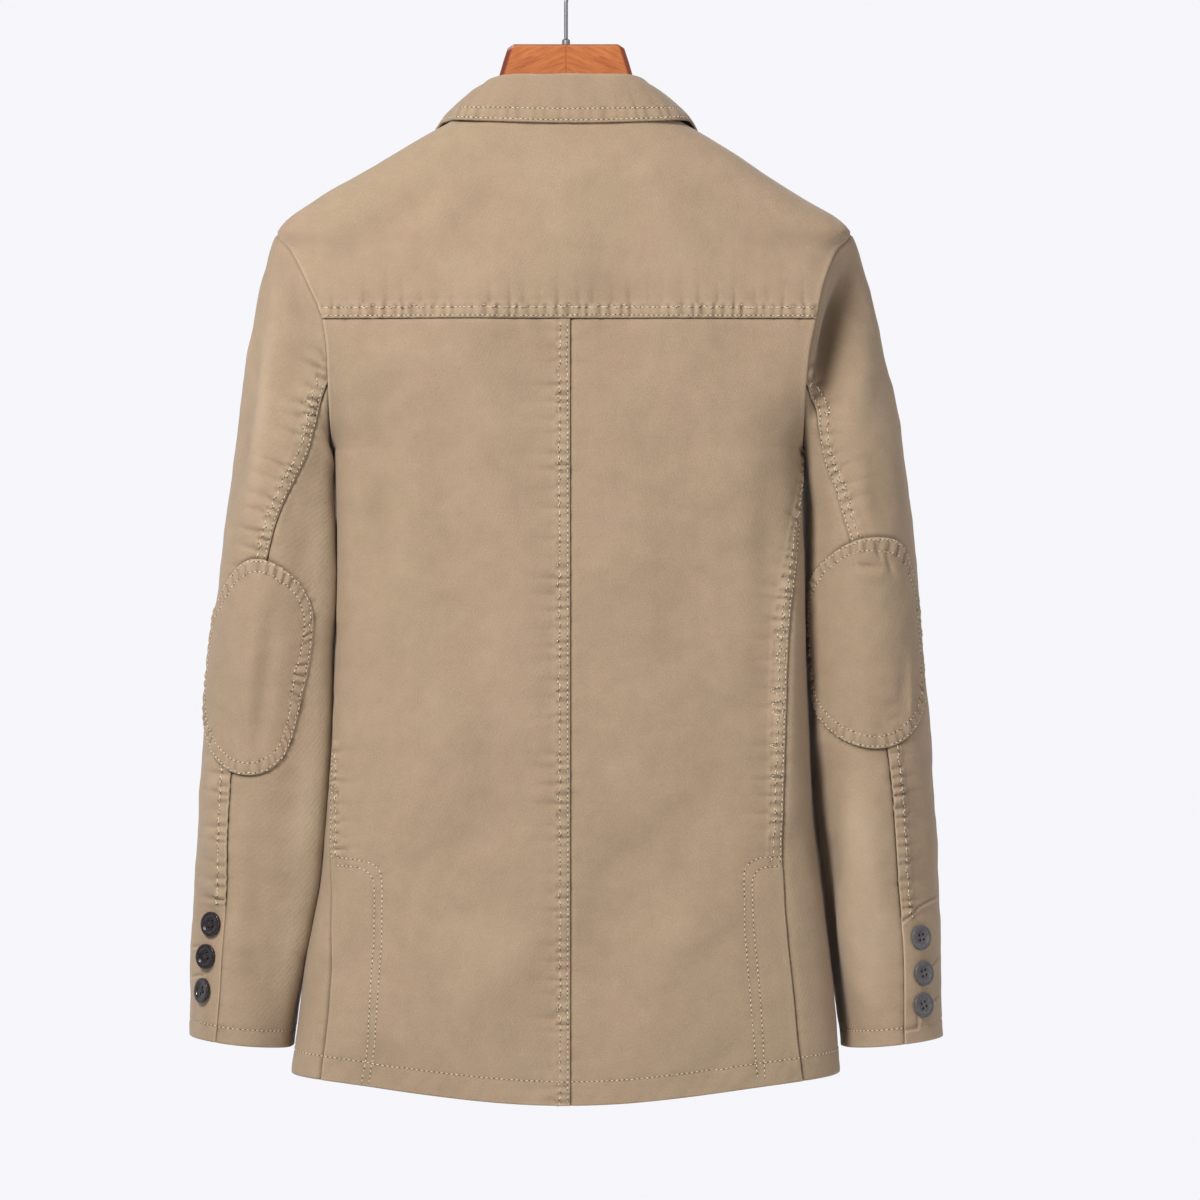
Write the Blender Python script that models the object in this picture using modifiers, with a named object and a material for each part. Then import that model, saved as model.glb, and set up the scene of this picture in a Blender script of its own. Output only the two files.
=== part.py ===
"""A blazer hung on a wooden hanger, with the origin inside the top of the hanger's hook.

Sizes are in millimetres and become metres when a mesh is made. +Z is up, the blazer's back
faces -Y, and the wearer's right side is at +X.
"""
import math

import bmesh
import bpy
import numpy as np

MM = 0.001                      # metres in a millimetre
GARMENT = "blazer_on_a_hanger"

# ---- cloth
CLOTH = 1.6                     # wall of washed cotton twill with its turned allowances
GAP = 0.3                       # kept between two pieces that are sewn together
LIFT = CLOTH + GAP              # height of an applied piece's face over the panel under it
TINY = 1e-6                     # tells the front half's edge from the back half's

# ---- the body's levels, each a height below the hook
NECK = -128.0
YOKE_SEAM = -283.0
ARM_TOP = -219.0                # shoulder point
ARM_BOTTOM = -376.0             # underarm point
HEM = -828.0                    # hem at the sides
HEM_DROP = -19.0                # the hem hangs this much lower at the centre
DROP_START = -560.0             # level where the hem's curve begins

ARM_MID = (ARM_TOP + ARM_BOTTOM) / 2
ARM_REACH = (ARM_TOP - ARM_BOTTOM) / 2
ARM_DEPTH = 54.0                # half the armhole's width, front to back
FRONT_CUT = 7.0                 # the front armhole is cut this much further in

CENTRE_SEAM = 3.7               # x of the centre back seam

# ---- columns of points across each piece of cloth
YOKE_COLUMNS = 19
BACK_COLUMNS = 9
SIDE_COLUMNS = 5
FRONT_COLUMNS = 10
LAPEL_ROWS, LAPEL_COLUMNS = 14, 7
COLLAR_STATIONS = 29
SLEEVE_RINGS = 18
PATCH_ROWS, PATCH_COLUMNS = 11, 13
BUTTON_STEPS = 12
FERRULE_STEPS = 16
BEND_POINTS = 20
SQUARE = {"back": 3.2, "front": 2.8}    # how square the corners of a section are


def table(names, rows):
    """Turns rows of sizes into named columns, sorted by the first one."""
    return dict(zip(names.split(), np.array(sorted(rows), dtype=float).T))


# One row for each section: its level, the x of its two edges (shoulder line, armhole or
# side), and its depth behind and in front of the side line.
BODY = table("level left right back front", [
    (-128, -69.5, 71.0, 36.0, 38.0),
    (-138, -86.0, 87.5, 39.0, 41.0),
    (-155, -115.0, 114.5, 43.0, 45.0),
    (-175, -149.0, 146.0, 48.0, 50.0),
    (-195, -183.0, 178.0, 51.5, 54.0),
    (-209, -204.0, 200.0, 53.5, 56.0),
    (-219, -210.3, 207.3, 55.0, 57.5),
    (-232, -199.5, 196.0, 56.5, 59.0),
    (-262, -183.7, 184.6, 59.0, 61.5),
    (-283, -175.0, 180.2, 60.0, 63.0),
    (-311, -171.6, 174.9, 61.0, 64.0),
    (-340, -171.0, 173.0, 61.5, 65.0),
    (-376, -170.0, 172.3, 62.0, 65.0),
    (-430, -167.5, 173.0, 61.0, 63.0),
    (-500, -168.0, 174.0, 60.0, 62.0),
    (-560, -170.0, 176.0, 58.5, 60.5),
    (-626, -173.7, 179.0, 58.0, 60.0),
    (-690, -179.0, 186.3, 59.0, 60.0),
    (-747, -190.5, 192.5, 61.0, 61.0),
    (-785, -195.0, 196.4, 62.0, 61.5),
    (-828, -200.0, 200.0, 63.0, 62.0),
])

# Seam between the back and the side panel, as an x on the back.
SIDE_SEAM = table("level left right", [
    (-376, -170.0, 172.3),
    (-445, -166.0, 166.4),
    (-509, -166.5, 157.8),
    (-560, -168.0, 156.8),
    (-628, -170.0, 156.1),
    (-675, -170.0, 156.5),
    (-708, -169.2, 158.0),
    (-754, -169.5, 162.5),
    (-792, -172.1, 166.0),
    (-828, -176.2, 170.5),
])

# Seam between the side panel and the front: how far it lies past the side line.
FRONT_SEAM = table("level past", [(-376, 0.0), (-430, 0.09), (-520, 0.15), (-828, 0.17)])

# Roll line, then front edge: its distance from the centre line on its own side.
FRONT_EDGE = table("level reach", [
    (-132, 66.0),
    (-140, 62.0),
    (-150, 57.0),
    (-200, 48.5),
    (-300, 29.0),
    (-400, 8.0),
    (-480, -9.0),
    (-520, -19.0),
    (-720, -19.0),
    (-780, -8.0),
    (-812, 10.0),
    (-828, 34.0),
])
BREAK_POINT = -520.0            # where the lapels end
OVERLAP_RISE = 6.4              # the left front passes over the right one and its lapel
RISE_START = -50.0              # x where the left front starts to rise
RISE_END = -12.0

# Soft troughs (minus) and ridges (plus) in the back, as lines seen from behind.
BACK_FOLDS = table("x1 z1 x2 z2 width depth", [
    (-128, -330, -136, -640, 20, -1.8),
    (-84, -300, -92, -520, 15, -1.2),
    (-40, -420, -58, -800, 24, -1.5),
    (74, -330, 86, -600, 22, -1.8),
    (52, -560, 30, -820, 26, -1.6),
    (118, -430, 108, -700, 18, -1.2),
    (-150, -240, -60, -160, 16, -1.5),
    (152, -236, 70, -165, 16, -1.5),
    (-110, -700, -20, -760, 20, 1.4),
    (140, -640, 60, -780, 22, 1.4),
])
FRONT_FOLDS = table("x1 z1 x2 z2 width depth", [
    (-110, -300, -122, -560, 20, -1.8),
    (-80, -560, -104, -820, 24, -1.6),
    (104, -320, 126, -600, 20, -1.8),
    (70, -580, 92, -820, 24, -1.6),
])

# ---- sleeves: one row for each ring of the tube, named by the height of its middle. A ring
# reaches from an outer to an inner point, and lies between a back and a front plane.
RING_NAMES = "level outer_x outer_z inner_x inner_z back front"
SLEEVES = {
    -1: table(RING_NAMES, [
        (-297.5, -210.3, -219, -170.0, -376, -54, 54),
        (-319.0, -222.0, -252, -172.8, -386, -47, 64),
        (-346.5, -231.0, -295, -174.0, -398, -45, 70),
        (-387.0, -239.4, -354, -173.0, -420, -46, 73),
        (-441.0, -249.0, -427, -170.4, -455, -48, 72),
        (-505.0, -257.7, -500, -171.2, -510, -47, 68),
        (-560.0, -264.3, -558, -173.0, -562, -44, 65),
        (-632.5, -268.6, -631, -176.9, -634, -40, 62),
        (-692.0, -272.5, -690, -183.0, -694, -37, 60),
        (-743.5, -274.5, -741, -193.2, -746, -35, 60),
        (-807.0, -276.0, -803, -200.7, -811, -33, 60),
    ]),
    1: table(RING_NAMES, [
        (-297.5, 207.3, -219, 172.3, -376, -54, 54),
        (-319.0, 220.5, -252, 175.2, -386, -45, 64),
        (-346.5, 231.5, -295, 176.5, -398, -41, 70),
        (-387.0, 243.5, -354, 176.8, -420, -42, 73),
        (-441.0, 253.0, -427, 176.5, -455, -45, 72),
        (-505.0, 259.8, -500, 177.2, -510, -45, 68),
        (-560.0, 264.8, -558, 179.3, -562, -43, 65),
        (-632.5, 270.0, -631, 183.0, -634, -39, 62),
        (-692.0, 272.3, -690, 190.0, -694, -36, 60),
        (-743.5, 274.2, -741, 195.6, -746, -34, 60),
        (-807.0, 276.0, -803, 201.3, -811, -32, 60),
    ]),
}
CUFF = -807.0
CAP_END = -400.0                # level where the armhole's own curve has faded out

# Back seam of each sleeve: degrees round the tube from its outer edge, over the back.
SLEEVE_SEAM = {
    -1: table("level turn", [
        (-297.5, 121), (-341, 117), (-387, 108), (-441, 88), (-560, 62),
        (-632.5, 58), (-692, 57), (-743.5, 58), (-807, 60),
    ]),
    1: table("level turn", [
        (-297.5, 124), (-341, 119), (-387, 108), (-441, 93), (-560, 70),
        (-632.5, 62), (-692, 61), (-743.5, 58), (-807, 57),
    ]),
}
FOREARM_SEAM = 245.0            # the front seam stays on the inner side all the way

# Elbow patches: middle and half sizes, in degrees round the sleeve and millimetres along it.
PATCHES = {
    -1: {"turn": 67.0, "half_turn": 68.0, "level": -534.0, "half_length": 79.0},
    1: {"turn": 82.0, "half_turn": 80.0, "level": -517.0, "half_length": 78.0},
}
PATCH_LIFT = CLOTH + 0.9

# ---- buttons
BUTTON_SEAT = 0.3               # thread length under the button
SLEEVE_BUTTONS = {              # places on the sleeve's back, as x and z seen from behind
    -1: [(-258.0, -721.4), (-261.3, -745.0), (-264.3, -769.9)],
    1: [(257.0, -731.0), (259.4, -757.0), (259.4, -780.0)],
}
FRONT_BUTTONS = [(0.0, -538.0), (0.0, -646.0)]

# ---- hanger
WOOD_THICK = 16.0
WOOD_END = 195.0                # reach of each arm
WOOD_DROP = 2.9                 # wood's top edge under the shoulder line
WOOD_TOP = -80.0
HOOK_RADIUS = 1.4               # of the wire
HOOK_INSIDE = 19.0              # inner radius of the hook's bend
FERRULE_HEIGHT = 4.0

COLORS = {                      # colour, roughness, metallic
    "cloth": ((0.46, 0.35, 0.24, 1.0), 0.85, 0.0),
    "patch": ((0.43, 0.33, 0.22, 1.0), 0.85, 0.0),
    "dark_button": ((0.025, 0.02, 0.02, 1.0), 0.25, 0.0),
    "grey_button": ((0.11, 0.09, 0.08, 1.0), 0.45, 0.0),
    "wood": ((0.50, 0.18, 0.05, 1.0), 0.3, 0.0),
    "steel": ((0.55, 0.55, 0.53, 1.0), 0.25, 1.0),
}


# ---------------------------------------------------------------- reading the tables

def ease(part):
    """Goes smoothly from 0 to 1."""
    part = np.clip(part, 0.0, 1.0)
    return part * part * (3.0 - 2.0 * part)


def smooth(places, values, at):
    """Reads a smooth curve through the values, level wherever they turn."""
    span = np.diff(places)
    rise = np.diff(values) / span
    before, after = rise[:-1], rise[1:]
    same_way = before * after > 0.0
    total = np.where(same_way, before + after, 1.0)
    inner = np.where(same_way, 2.0 * before * after / total, 0.0)
    slope = np.concatenate(([rise[0]], inner, [rise[-1]]))
    at = np.clip(at, places[0], places[-1])
    cell = np.clip(np.searchsorted(places, at, side="right") - 1, 0, len(span) - 1)
    part = (at - places[cell]) / span[cell]
    rest = 1.0 - part
    start = values[cell] * (1.0 + 2.0 * part) + slope[cell] * span[cell] * part
    end = values[cell + 1] * (1.0 + 2.0 * rest) - slope[cell + 1] * span[cell] * rest
    return start * rest ** 2 + end * part ** 2


def read(rows, name, at):
    """Reads a named column of a table at some place of its first column."""
    return smooth(next(iter(rows.values())), rows[name], at)


def unit(vectors):
    """Makes each vector one millimetre long."""
    return vectors / np.linalg.norm(vectors, axis=-1, keepdims=True)


def fold_height(folds, x, z):
    """Adds up the soft folds at a place seen from behind or in front."""
    height = np.zeros_like(x)
    for x1, z1, x2, z2, width, depth in zip(*folds.values()):
        length = math.hypot(x2 - x1, z2 - z1)
        along = ((x - x1) * (x2 - x1) + (z - z1) * (z2 - z1)) / length ** 2
        aside = ((x - x1) * (z2 - z1) - (z - z1) * (x2 - x1)) / length
        fade = np.sin(np.pi * np.clip(along, 0.0, 1.0))
        height += depth * fade * np.exp(-(aside / width) ** 2)
    return height


# ---------------------------------------------------------------- the body's surface

LOWEST = -834.0
HIGHEST = -124.0
LEVEL_STEP = 2.0
PLACES = 321                    # points kept on each half section
FINE = 2000                     # points it is measured with


def armhole_depth(level):
    """How far behind or in front of the side line the armhole's edge lies."""
    part = np.clip((level - ARM_MID) / ARM_REACH, -1.0, 1.0)
    return ARM_DEPTH * np.sqrt(1.0 - part ** 2)


def half_section(half, level):
    """Evenly spaced points of one back or front section, from its left to its right edge."""
    square = 2.0 / SQUARE[half]
    depth = read(BODY, half, level)
    cut = armhole_depth(level)
    further_in = FRONT_CUT * (cut / ARM_DEPTH) ** 2 if half == "front" else 0.0
    left = read(BODY, "left", level) + further_in
    right = read(BODY, "right", level) - further_in
    start = math.asin((cut / depth) ** (1.0 / square))
    spread = (1.0 - np.cos(np.linspace(0.0, np.pi, FINE))) / 2.0
    angle = math.pi - start + (2.0 * start - math.pi) * spread
    reach = (right - left) / 2.0 / math.cos(start) ** square
    cosine = np.cos(angle)
    x = (left + right) / 2.0 + reach * np.sign(cosine) * np.abs(cosine) ** square
    y = depth * np.abs(np.sin(angle)) ** square
    length = np.concatenate(([0.0], np.cumsum(np.hypot(np.diff(x), np.diff(y)))))
    even = np.linspace(0.0, length[-1], PLACES)
    side = -1.0 if half == "back" else 1.0
    return np.stack([np.interp(even, length, x), side * np.interp(even, length, y)], axis=-1)


def all_sections(half):
    """The half sections at every level, lowest first."""
    levels = np.arange(LOWEST, HIGHEST, LEVEL_STEP)
    return np.array([half_section(half, level) for level in levels])


SECTIONS = {half: all_sections(half) for half in ("back", "front")}


def read_section(half, across, level):
    """Looks a point up between the stored sections; across runs from -1 (left) to 1."""
    grid = SECTIONS[half]
    row = np.clip((level - LOWEST) / LEVEL_STEP, 0.0, grid.shape[0] - 1.0 - TINY)
    place = np.clip((across + 1.0) / 2.0, 0.0, 1.0 - TINY / 10) * (PLACES - 1)
    r, p = row.astype(int), place.astype(int)
    row_part = (row - r)[..., None]
    place_part = (place - p)[..., None]
    low = grid[r, p] * (1.0 - place_part) + grid[r, p + 1] * place_part
    high = grid[r + 1, p] * (1.0 - place_part) + grid[r + 1, p + 1] * place_part
    return low * (1.0 - row_part) + high * row_part


def across_at(half, x, level):
    """Finds where across a half section an x lies."""
    evenly = np.linspace(-1.0, 1.0, PLACES)
    found = [np.interp(one_x, read_section(half, evenly, np.full(PLACES, one_level))[:, 0], evenly)
             for one_x, one_level in np.broadcast(x, level)]
    return np.array(found).reshape(np.broadcast(x, level).shape)


def body_point(around, level):
    """A point on the body's loop: 0 is the back centre, -1 and 1 the left and right side line
    (or armhole), -2 and 2 the front centre."""
    around, level = np.broadcast_arrays(np.asarray(around, float), np.asarray(level, float))
    behind = np.abs(around) <= 1.0
    across = np.where(behind, around, np.sign(around) * (2.0 - np.abs(around)))
    flat = np.where(behind[..., None], read_section("back", across, level),
                    read_section("front", across, level))
    drop = HEM_DROP * (1.0 + np.cos(np.pi * around)) / 2.0
    height = level + drop * ease((level - DROP_START) / (HEM - DROP_START))
    return np.concatenate([flat, height[..., None]], axis=-1)


def body_face(around, level):
    """Points of the body's outer face, and the directions that point out of it there."""
    around, level = np.broadcast_arrays(np.asarray(around, float), np.asarray(level, float))
    behind = np.abs(around) <= 1.0
    first = np.where(behind, -1.0, np.where(around > 0.0, 1.0 + TINY, -3.0))
    last = np.where(behind, 1.0, np.where(around > 0.0, 3.0, -1.0 - TINY))
    before = np.maximum(around - 0.004, first)
    after = np.minimum(around + 0.004, last)
    sideways = body_point(after, level) - body_point(before, level)
    upward = body_point(around, level + 1.5) - body_point(around, level - 1.5)
    out = unit(np.cross(sideways, upward))
    point = body_point(around, level)
    x, z = point[..., 0], point[..., 2]
    fold = np.where(behind, fold_height(BACK_FOLDS, x, z), fold_height(FRONT_FOLDS, x, z))
    return point + out * fold[..., None], out


# ---------------------------------------------------------------- the sleeves' surface

def sleeve_point(side, turn, level):
    """A point on a sleeve; turn goes round from the outer edge (0) over the back (90)."""
    turn, level = np.broadcast_arrays(np.asarray(turn, float), np.asarray(level, float))
    rings = SLEEVES[side]
    outer_x, outer_z, inner_x, inner_z, back, front = (
        read(rings, name, level) for name in RING_NAMES.split()[1:])
    cosine, sine = np.cos(np.radians(turn)), np.sin(np.radians(turn))
    x = (outer_x + inner_x) / 2.0 + (outer_x - inner_x) / 2.0 * cosine
    y = (back + front) / 2.0 - (front - back) / 2.0 * sine
    z = (outer_z + inner_z) / 2.0 + (outer_z - inner_z) / 2.0 * cosine
    fade = 1.0 - ease((level - ARM_MID) / (CAP_END - ARM_MID))
    x = x + fade * armhole_bow(side, cosine, sine)
    return np.stack([x, y, z], axis=-1)


def armhole_bow(side, cosine, sine):
    """How far the armhole's edge lies from a straight line between its top and bottom."""
    name = "left" if side < 0 else "right"
    top, bottom = read(BODY, name, ARM_TOP), read(BODY, name, ARM_BOTTOM)
    line = (top + bottom) / 2.0 + (top - bottom) / 2.0 * cosine
    edge = read(BODY, name, ARM_MID + ARM_REACH * cosine)
    edge = edge - side * FRONT_CUT * sine ** 2 * (sine < 0.0)
    return edge - line


def sleeve_face(side, turn, level):
    """Points of a sleeve's outer face, and the directions that point out of it there."""
    turn, level = np.broadcast_arrays(np.asarray(turn, float), np.asarray(level, float))
    sideways = sleeve_point(side, turn + 1.0, level) - sleeve_point(side, turn - 1.0, level)
    upper = np.minimum(level + 2.0, ARM_MID)
    lower = np.maximum(level - 2.0, CUFF)
    upward = sleeve_point(side, turn, upper) - sleeve_point(side, turn, lower)
    out = unit(-side * np.cross(sideways, upward))
    return sleeve_point(side, turn, level), out


def armhole_rim(side, turn):
    """Direction that the body's and the sleeve's walls share at the armhole seam, and the
    direction across the seam, towards the sleeve."""
    turn = np.asarray(turn, float)
    level = ARM_MID + ARM_REACH * np.cos(np.radians(turn))
    edge = side * np.where(np.sin(np.radians(turn)) >= -TINY, 1.0, 1.0 + TINY)
    body_out = body_face(edge, level)[1]
    sleeve_out = sleeve_face(side, turn, ARM_MID)[1]
    shared = unit(body_out + sleeve_out)
    tangent = sleeve_point(side, turn + 1.0, ARM_MID) - sleeve_point(side, turn - 1.0, ARM_MID)
    over = unit(np.cross(tangent, shared))
    over = over * np.sign(over[..., :1] * side)
    return shared, over


# ---------------------------------------------------------------- making meshes

def material(name):
    """Plain material with the piece's colour, roughness and metallic value."""
    found = bpy.data.materials.get(name)
    if found:
        return found
    made = bpy.data.materials.new(name)
    made.use_nodes = True
    shader = made.node_tree.nodes["Principled BSDF"]
    color, roughness, metallic = COLORS[name]
    shader.inputs["Base Color"].default_value = color
    shader.inputs["Roughness"].default_value = roughness
    shader.inputs["Metallic"].default_value = metallic
    return made


def add_object(name, mesh, material_name):
    """Puts a finished mesh in the garment's collection."""
    piece = bpy.data.objects.new(name, mesh)
    mesh.materials.append(material(material_name))
    bpy.data.collections[GARMENT].objects.link(piece)
    return piece


def inset(points):
    """Moves the rim of a grid of points inwards by half a seam gap."""
    moved = points.copy()
    half = GAP / 2.0
    moved[0] += half * unit(points[1] - points[0])
    moved[-1] += half * unit(points[-2] - points[-1])
    moved[:, 0] += half * unit(points[:, 1] - points[:, 0])
    moved[:, -1] += half * unit(points[:, -2] - points[:, -1])
    return moved


def wall(name, outer, inner, material_name):
    """One closed wall between two grids of points, made from an extruded grid."""
    rows, columns = outer.shape[:2]
    grid = bmesh.new()
    bmesh.ops.create_grid(grid, x_segments=columns - 1, y_segments=rows - 1, size=1.0)
    extruded = bmesh.ops.extrude_face_region(grid, geom=grid.faces[:])
    for vertex in extruded["geom"]:
        if isinstance(vertex, bmesh.types.BMVert):
            vertex.co.z = 1.0
    for vertex in grid.verts:
        column = round((vertex.co.x + 1.0) / 2.0 * (columns - 1))
        row = round((vertex.co.y + 1.0) / 2.0 * (rows - 1))
        layer = inner if vertex.co.z > 0.5 else outer
        vertex.co = layer[row, column] * MM
    bmesh.ops.recalc_face_normals(grid, faces=grid.faces[:])
    mesh = bpy.data.meshes.new(name)
    grid.to_mesh(mesh)
    grid.free()
    return add_object(name, mesh, material_name)


def cloth(name, points, out, thick=CLOTH, material_name="cloth"):
    """A wall of cloth under a grid of outer points."""
    return wall(name, points, points - thick * out, material_name)


# ---------------------------------------------------------------- body panels

def armhole_levels(first_turn, last_turn, count):
    """Levels of evenly turned points along the armhole."""
    turns = np.radians(np.linspace(first_turn, last_turn, count))
    return ARM_MID + ARM_REACH * np.cos(turns)


YOKE_TURN = math.degrees(math.acos((YOKE_SEAM - ARM_MID) / ARM_REACH))
SHOULDER_LEVELS = np.array([-132, -138, -146, -155, -166, -178, -190, -201, -210, -216])
YOKE_ARM_LEVELS = armhole_levels(0.0, YOKE_TURN, 5)
BACK_ARM_LEVELS = armhole_levels(YOKE_TURN, 180.0, 7)
SIDE_LEVELS = np.linspace(ARM_BOTTOM, HEM, 14)
YOKE_LEVELS = np.concatenate(([NECK], SHOULDER_LEVELS, YOKE_ARM_LEVELS))
BACK_LEVELS = np.concatenate((BACK_ARM_LEVELS, SIDE_LEVELS[1:]))
FRONT_LEVELS = np.concatenate((SHOULDER_LEVELS, YOKE_ARM_LEVELS[:-1], BACK_LEVELS))


def side_seam(side, levels):
    """Where round the body the back meets the side panel, or the armhole above it."""
    name = "left" if side < 0 else "right"
    rows = SIDE_SEAM["level"]
    places = across_at("back", SIDE_SEAM[name], rows)
    places[-1] = side
    return np.where(levels >= ARM_BOTTOM, side, smooth(rows, places, levels))


def front_seam(side, levels):
    """Where round the body the front meets the side panel, or the armhole above it."""
    past = np.where(levels >= ARM_BOTTOM, 0.0, read(FRONT_SEAM, "past", levels))
    return side * (1.0 + TINY + past)


def front_edge(side, levels):
    """Where round the body a front's roll line or front edge lies."""
    x = side * read(FRONT_EDGE, "reach", levels)
    return side * 2.0 - across_at("front", x, levels)


def panel_points(levels, start, end, columns):
    """A grid over the body between two lines, with its rim half a gap inside them."""
    part = np.linspace(0.0, 1.0, columns)[None, :]
    around = start[:, None] * (1.0 - part) + end[:, None] * part
    points, out = body_face(around, levels[:, None])
    return inset(points), out


def meet_sleeve(points, out, column, side, half, levels):
    """Turns a panel's edge to the direction it shares with the sleeve sewn to it."""
    on_armhole = (levels <= ARM_TOP + TINY) & (levels >= ARM_BOTTOM - TINY)
    part = np.clip((levels[on_armhole] - ARM_MID) / ARM_REACH, -1.0, 1.0)
    turn = np.degrees(np.arccos(part)) * (1.0 if half == "back" else -1.0)
    shared, over = armhole_rim(side, turn)
    out[on_armhole, column] = shared
    points[on_armhole, column] -= GAP / 2.0 * over


def make_yoke():
    """Back yoke, from armhole to armhole."""
    edge = np.ones(len(YOKE_LEVELS))
    points, out = panel_points(YOKE_LEVELS, -edge, edge, YOKE_COLUMNS)
    meet_sleeve(points, out, 0, -1, "back", YOKE_LEVELS)
    meet_sleeve(points, out, -1, 1, "back", YOKE_LEVELS)
    cloth("yoke", points, out)


def make_back(name, side):
    """One back panel, from the armhole and side seam to the centre seam."""
    centre = across_at("back", CENTRE_SEAM, BACK_LEVELS)
    points, out = panel_points(BACK_LEVELS, side_seam(side, BACK_LEVELS), centre, BACK_COLUMNS)
    meet_sleeve(points, out, 0, side, "back", BACK_LEVELS)
    cloth(name, points, out)


def make_side(name, side):
    """One side panel: it comes to a point under the arm."""
    levels = SIDE_LEVELS.copy()
    levels[0] -= 3.0
    start, end = side_seam(side, levels), front_seam(side, levels)
    points, out = panel_points(levels, start, end, SIDE_COLUMNS)
    cloth(name, points, out)


def front_rise(x):
    """How far the left front stands off the body where it overlaps the right one."""
    return OVERLAP_RISE * ease((x - RISE_START) / (RISE_END - RISE_START))


def make_front(name, side):
    """One front, from the armhole and side panel to the roll line and front edge."""
    start = front_seam(side, FRONT_LEVELS)
    end = front_edge(side, FRONT_LEVELS)
    points, out = panel_points(FRONT_LEVELS, start, end, FRONT_COLUMNS)
    meet_sleeve(points, out, 0, side, "front", FRONT_LEVELS)
    if side < 0:
        points += front_rise(points[..., :1]) * out
    return cloth(name, points, out)


def on_front(side, x, z, lift):
    """Points that lie on a front, raised off its face."""
    around = side * 2.0 - across_at("front", x, z)
    points, out = body_face(around, z)
    if side < 0:
        lift = lift + front_rise(points[..., 0])
    return points + np.asarray(lift)[..., None] * out


# ---------------------------------------------------------------- lapels and collar

# Outer edge of a lapel from its point to the break, and the line of its top edge.
LAPEL_EDGE = table("level reach", [
    (-188, 114.0), (-235, 104.0), (-300, 84.0), (-380, 56.0), (-460, 22.0), (-522, -17.0),
])
LAPEL_TOP = -154.0              # level of the lapel's inner top corner, on the roll line
LAPEL_ROLL = 2.0                # soft lift along the roll line
LAPEL_CLEAR = 1.0               # the lapel bridges the front's shallow curves
GORGE = (84.0, -168.5)          # where the collar's end leaves the lapel's top edge
GORGE_LIFT = 3.4


def make_lapel(name, side):
    """The turned-back part of a front."""
    down = np.linspace(0.0, 1.0, LAPEL_ROWS)[:, None]
    over = np.linspace(0.0, 1.0, LAPEL_COLUMNS)[None, :]
    roll_z = LAPEL_TOP + (BREAK_POINT + 3.0 - LAPEL_TOP) * down
    edge_z = LAPEL_EDGE["level"][-1] + (LAPEL_EDGE["level"][0] - LAPEL_EDGE["level"][-1]) * down
    roll_x = read(FRONT_EDGE, "reach", roll_z) + 1.0
    edge_x = read(LAPEL_EDGE, "reach", edge_z)
    x = side * (roll_x * (1.0 - over) + edge_x * over)
    z = roll_z * (1.0 - over) + edge_z * over
    lift = LIFT + LAPEL_CLEAR + LAPEL_ROLL * (1.0 - over) ** 2 * (1.0 - ease(down * 1.2))
    points = on_front(side, x, z, lift)
    out = grid_directions(points, np.array([0.0, 1.0, 0.0]))
    cloth(name, points, out)


def grid_directions(points, towards):
    """Directions out of a grid of points, on the side that its middle turns towards."""
    down = np.gradient(points, axis=0)
    over = np.gradient(points, axis=1)
    out = unit(np.cross(down, over))
    middle = out[out.shape[0] // 2, out.shape[1] // 2]
    return out * np.sign(np.dot(middle, towards))


# Half of the collar, from the back centre to its front end: the foot of the stand, the top of
# the fold, and the outer edge as a place on the body (front is 1 where it lies on a front)
# with its height over the cloth.
COLLAR = table("place foot_x foot_y foot_z fold_x fold_y fold_z edge_x edge_z front lift", [
    (0.00, 0.0, -34.4, -127.5, 0.0, -30.0, -103.4, 0.0, -139.3, 0, 2.4),
    (0.18, 28.0, -33.6, -127.5, 26.0, -29.0, -103.4, 34.0, -139.3, 0, 2.4),
    (0.36, 50.0, -29.6, -127.5, 44.0, -25.5, -103.6, 61.0, -139.5, 0, 2.8),
    (0.50, 62.0, -20.0, -127.5, 54.0, -15.0, -104.5, 78.0, -139.5, 0, 3.6),
    (0.62, 68.2, 0.0, -127.3, 59.0, 0.0, -107.0, 88.0, -139.0, 0, 3.6),
    (0.74, 64.5, 14.0, -128.5, 60.5, 14.0, -112.0, 96.0, -146.0, 1, 4.0),
    (0.86, 59.0, 26.0, -136.0, 58.5, 30.0, -122.0, 101.0, -153.0, 1, 4.0),
    (1.00, 53.0, 35.5, -155.0, 54.5, 43.5, -144.0, 103.0, -160.0, 1, 3.0),
])
FOLD_RADIUS = 2.6
FALL_BULGE = 3.4                # how much the fall rounds out over the seam under it


def collar_edge(side, row):
    """The point on the body, raised, where the collar's outer edge lies at one station."""
    x, z = side * COLLAR["edge_x"][row], COLLAR["edge_z"][row]
    lift = COLLAR["lift"][row]
    if COLLAR["front"][row]:
        return on_front(side, np.array(x), np.array(z), lift)
    point, out = body_face(across_at("back", x, z), z)
    return point + lift * out


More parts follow.
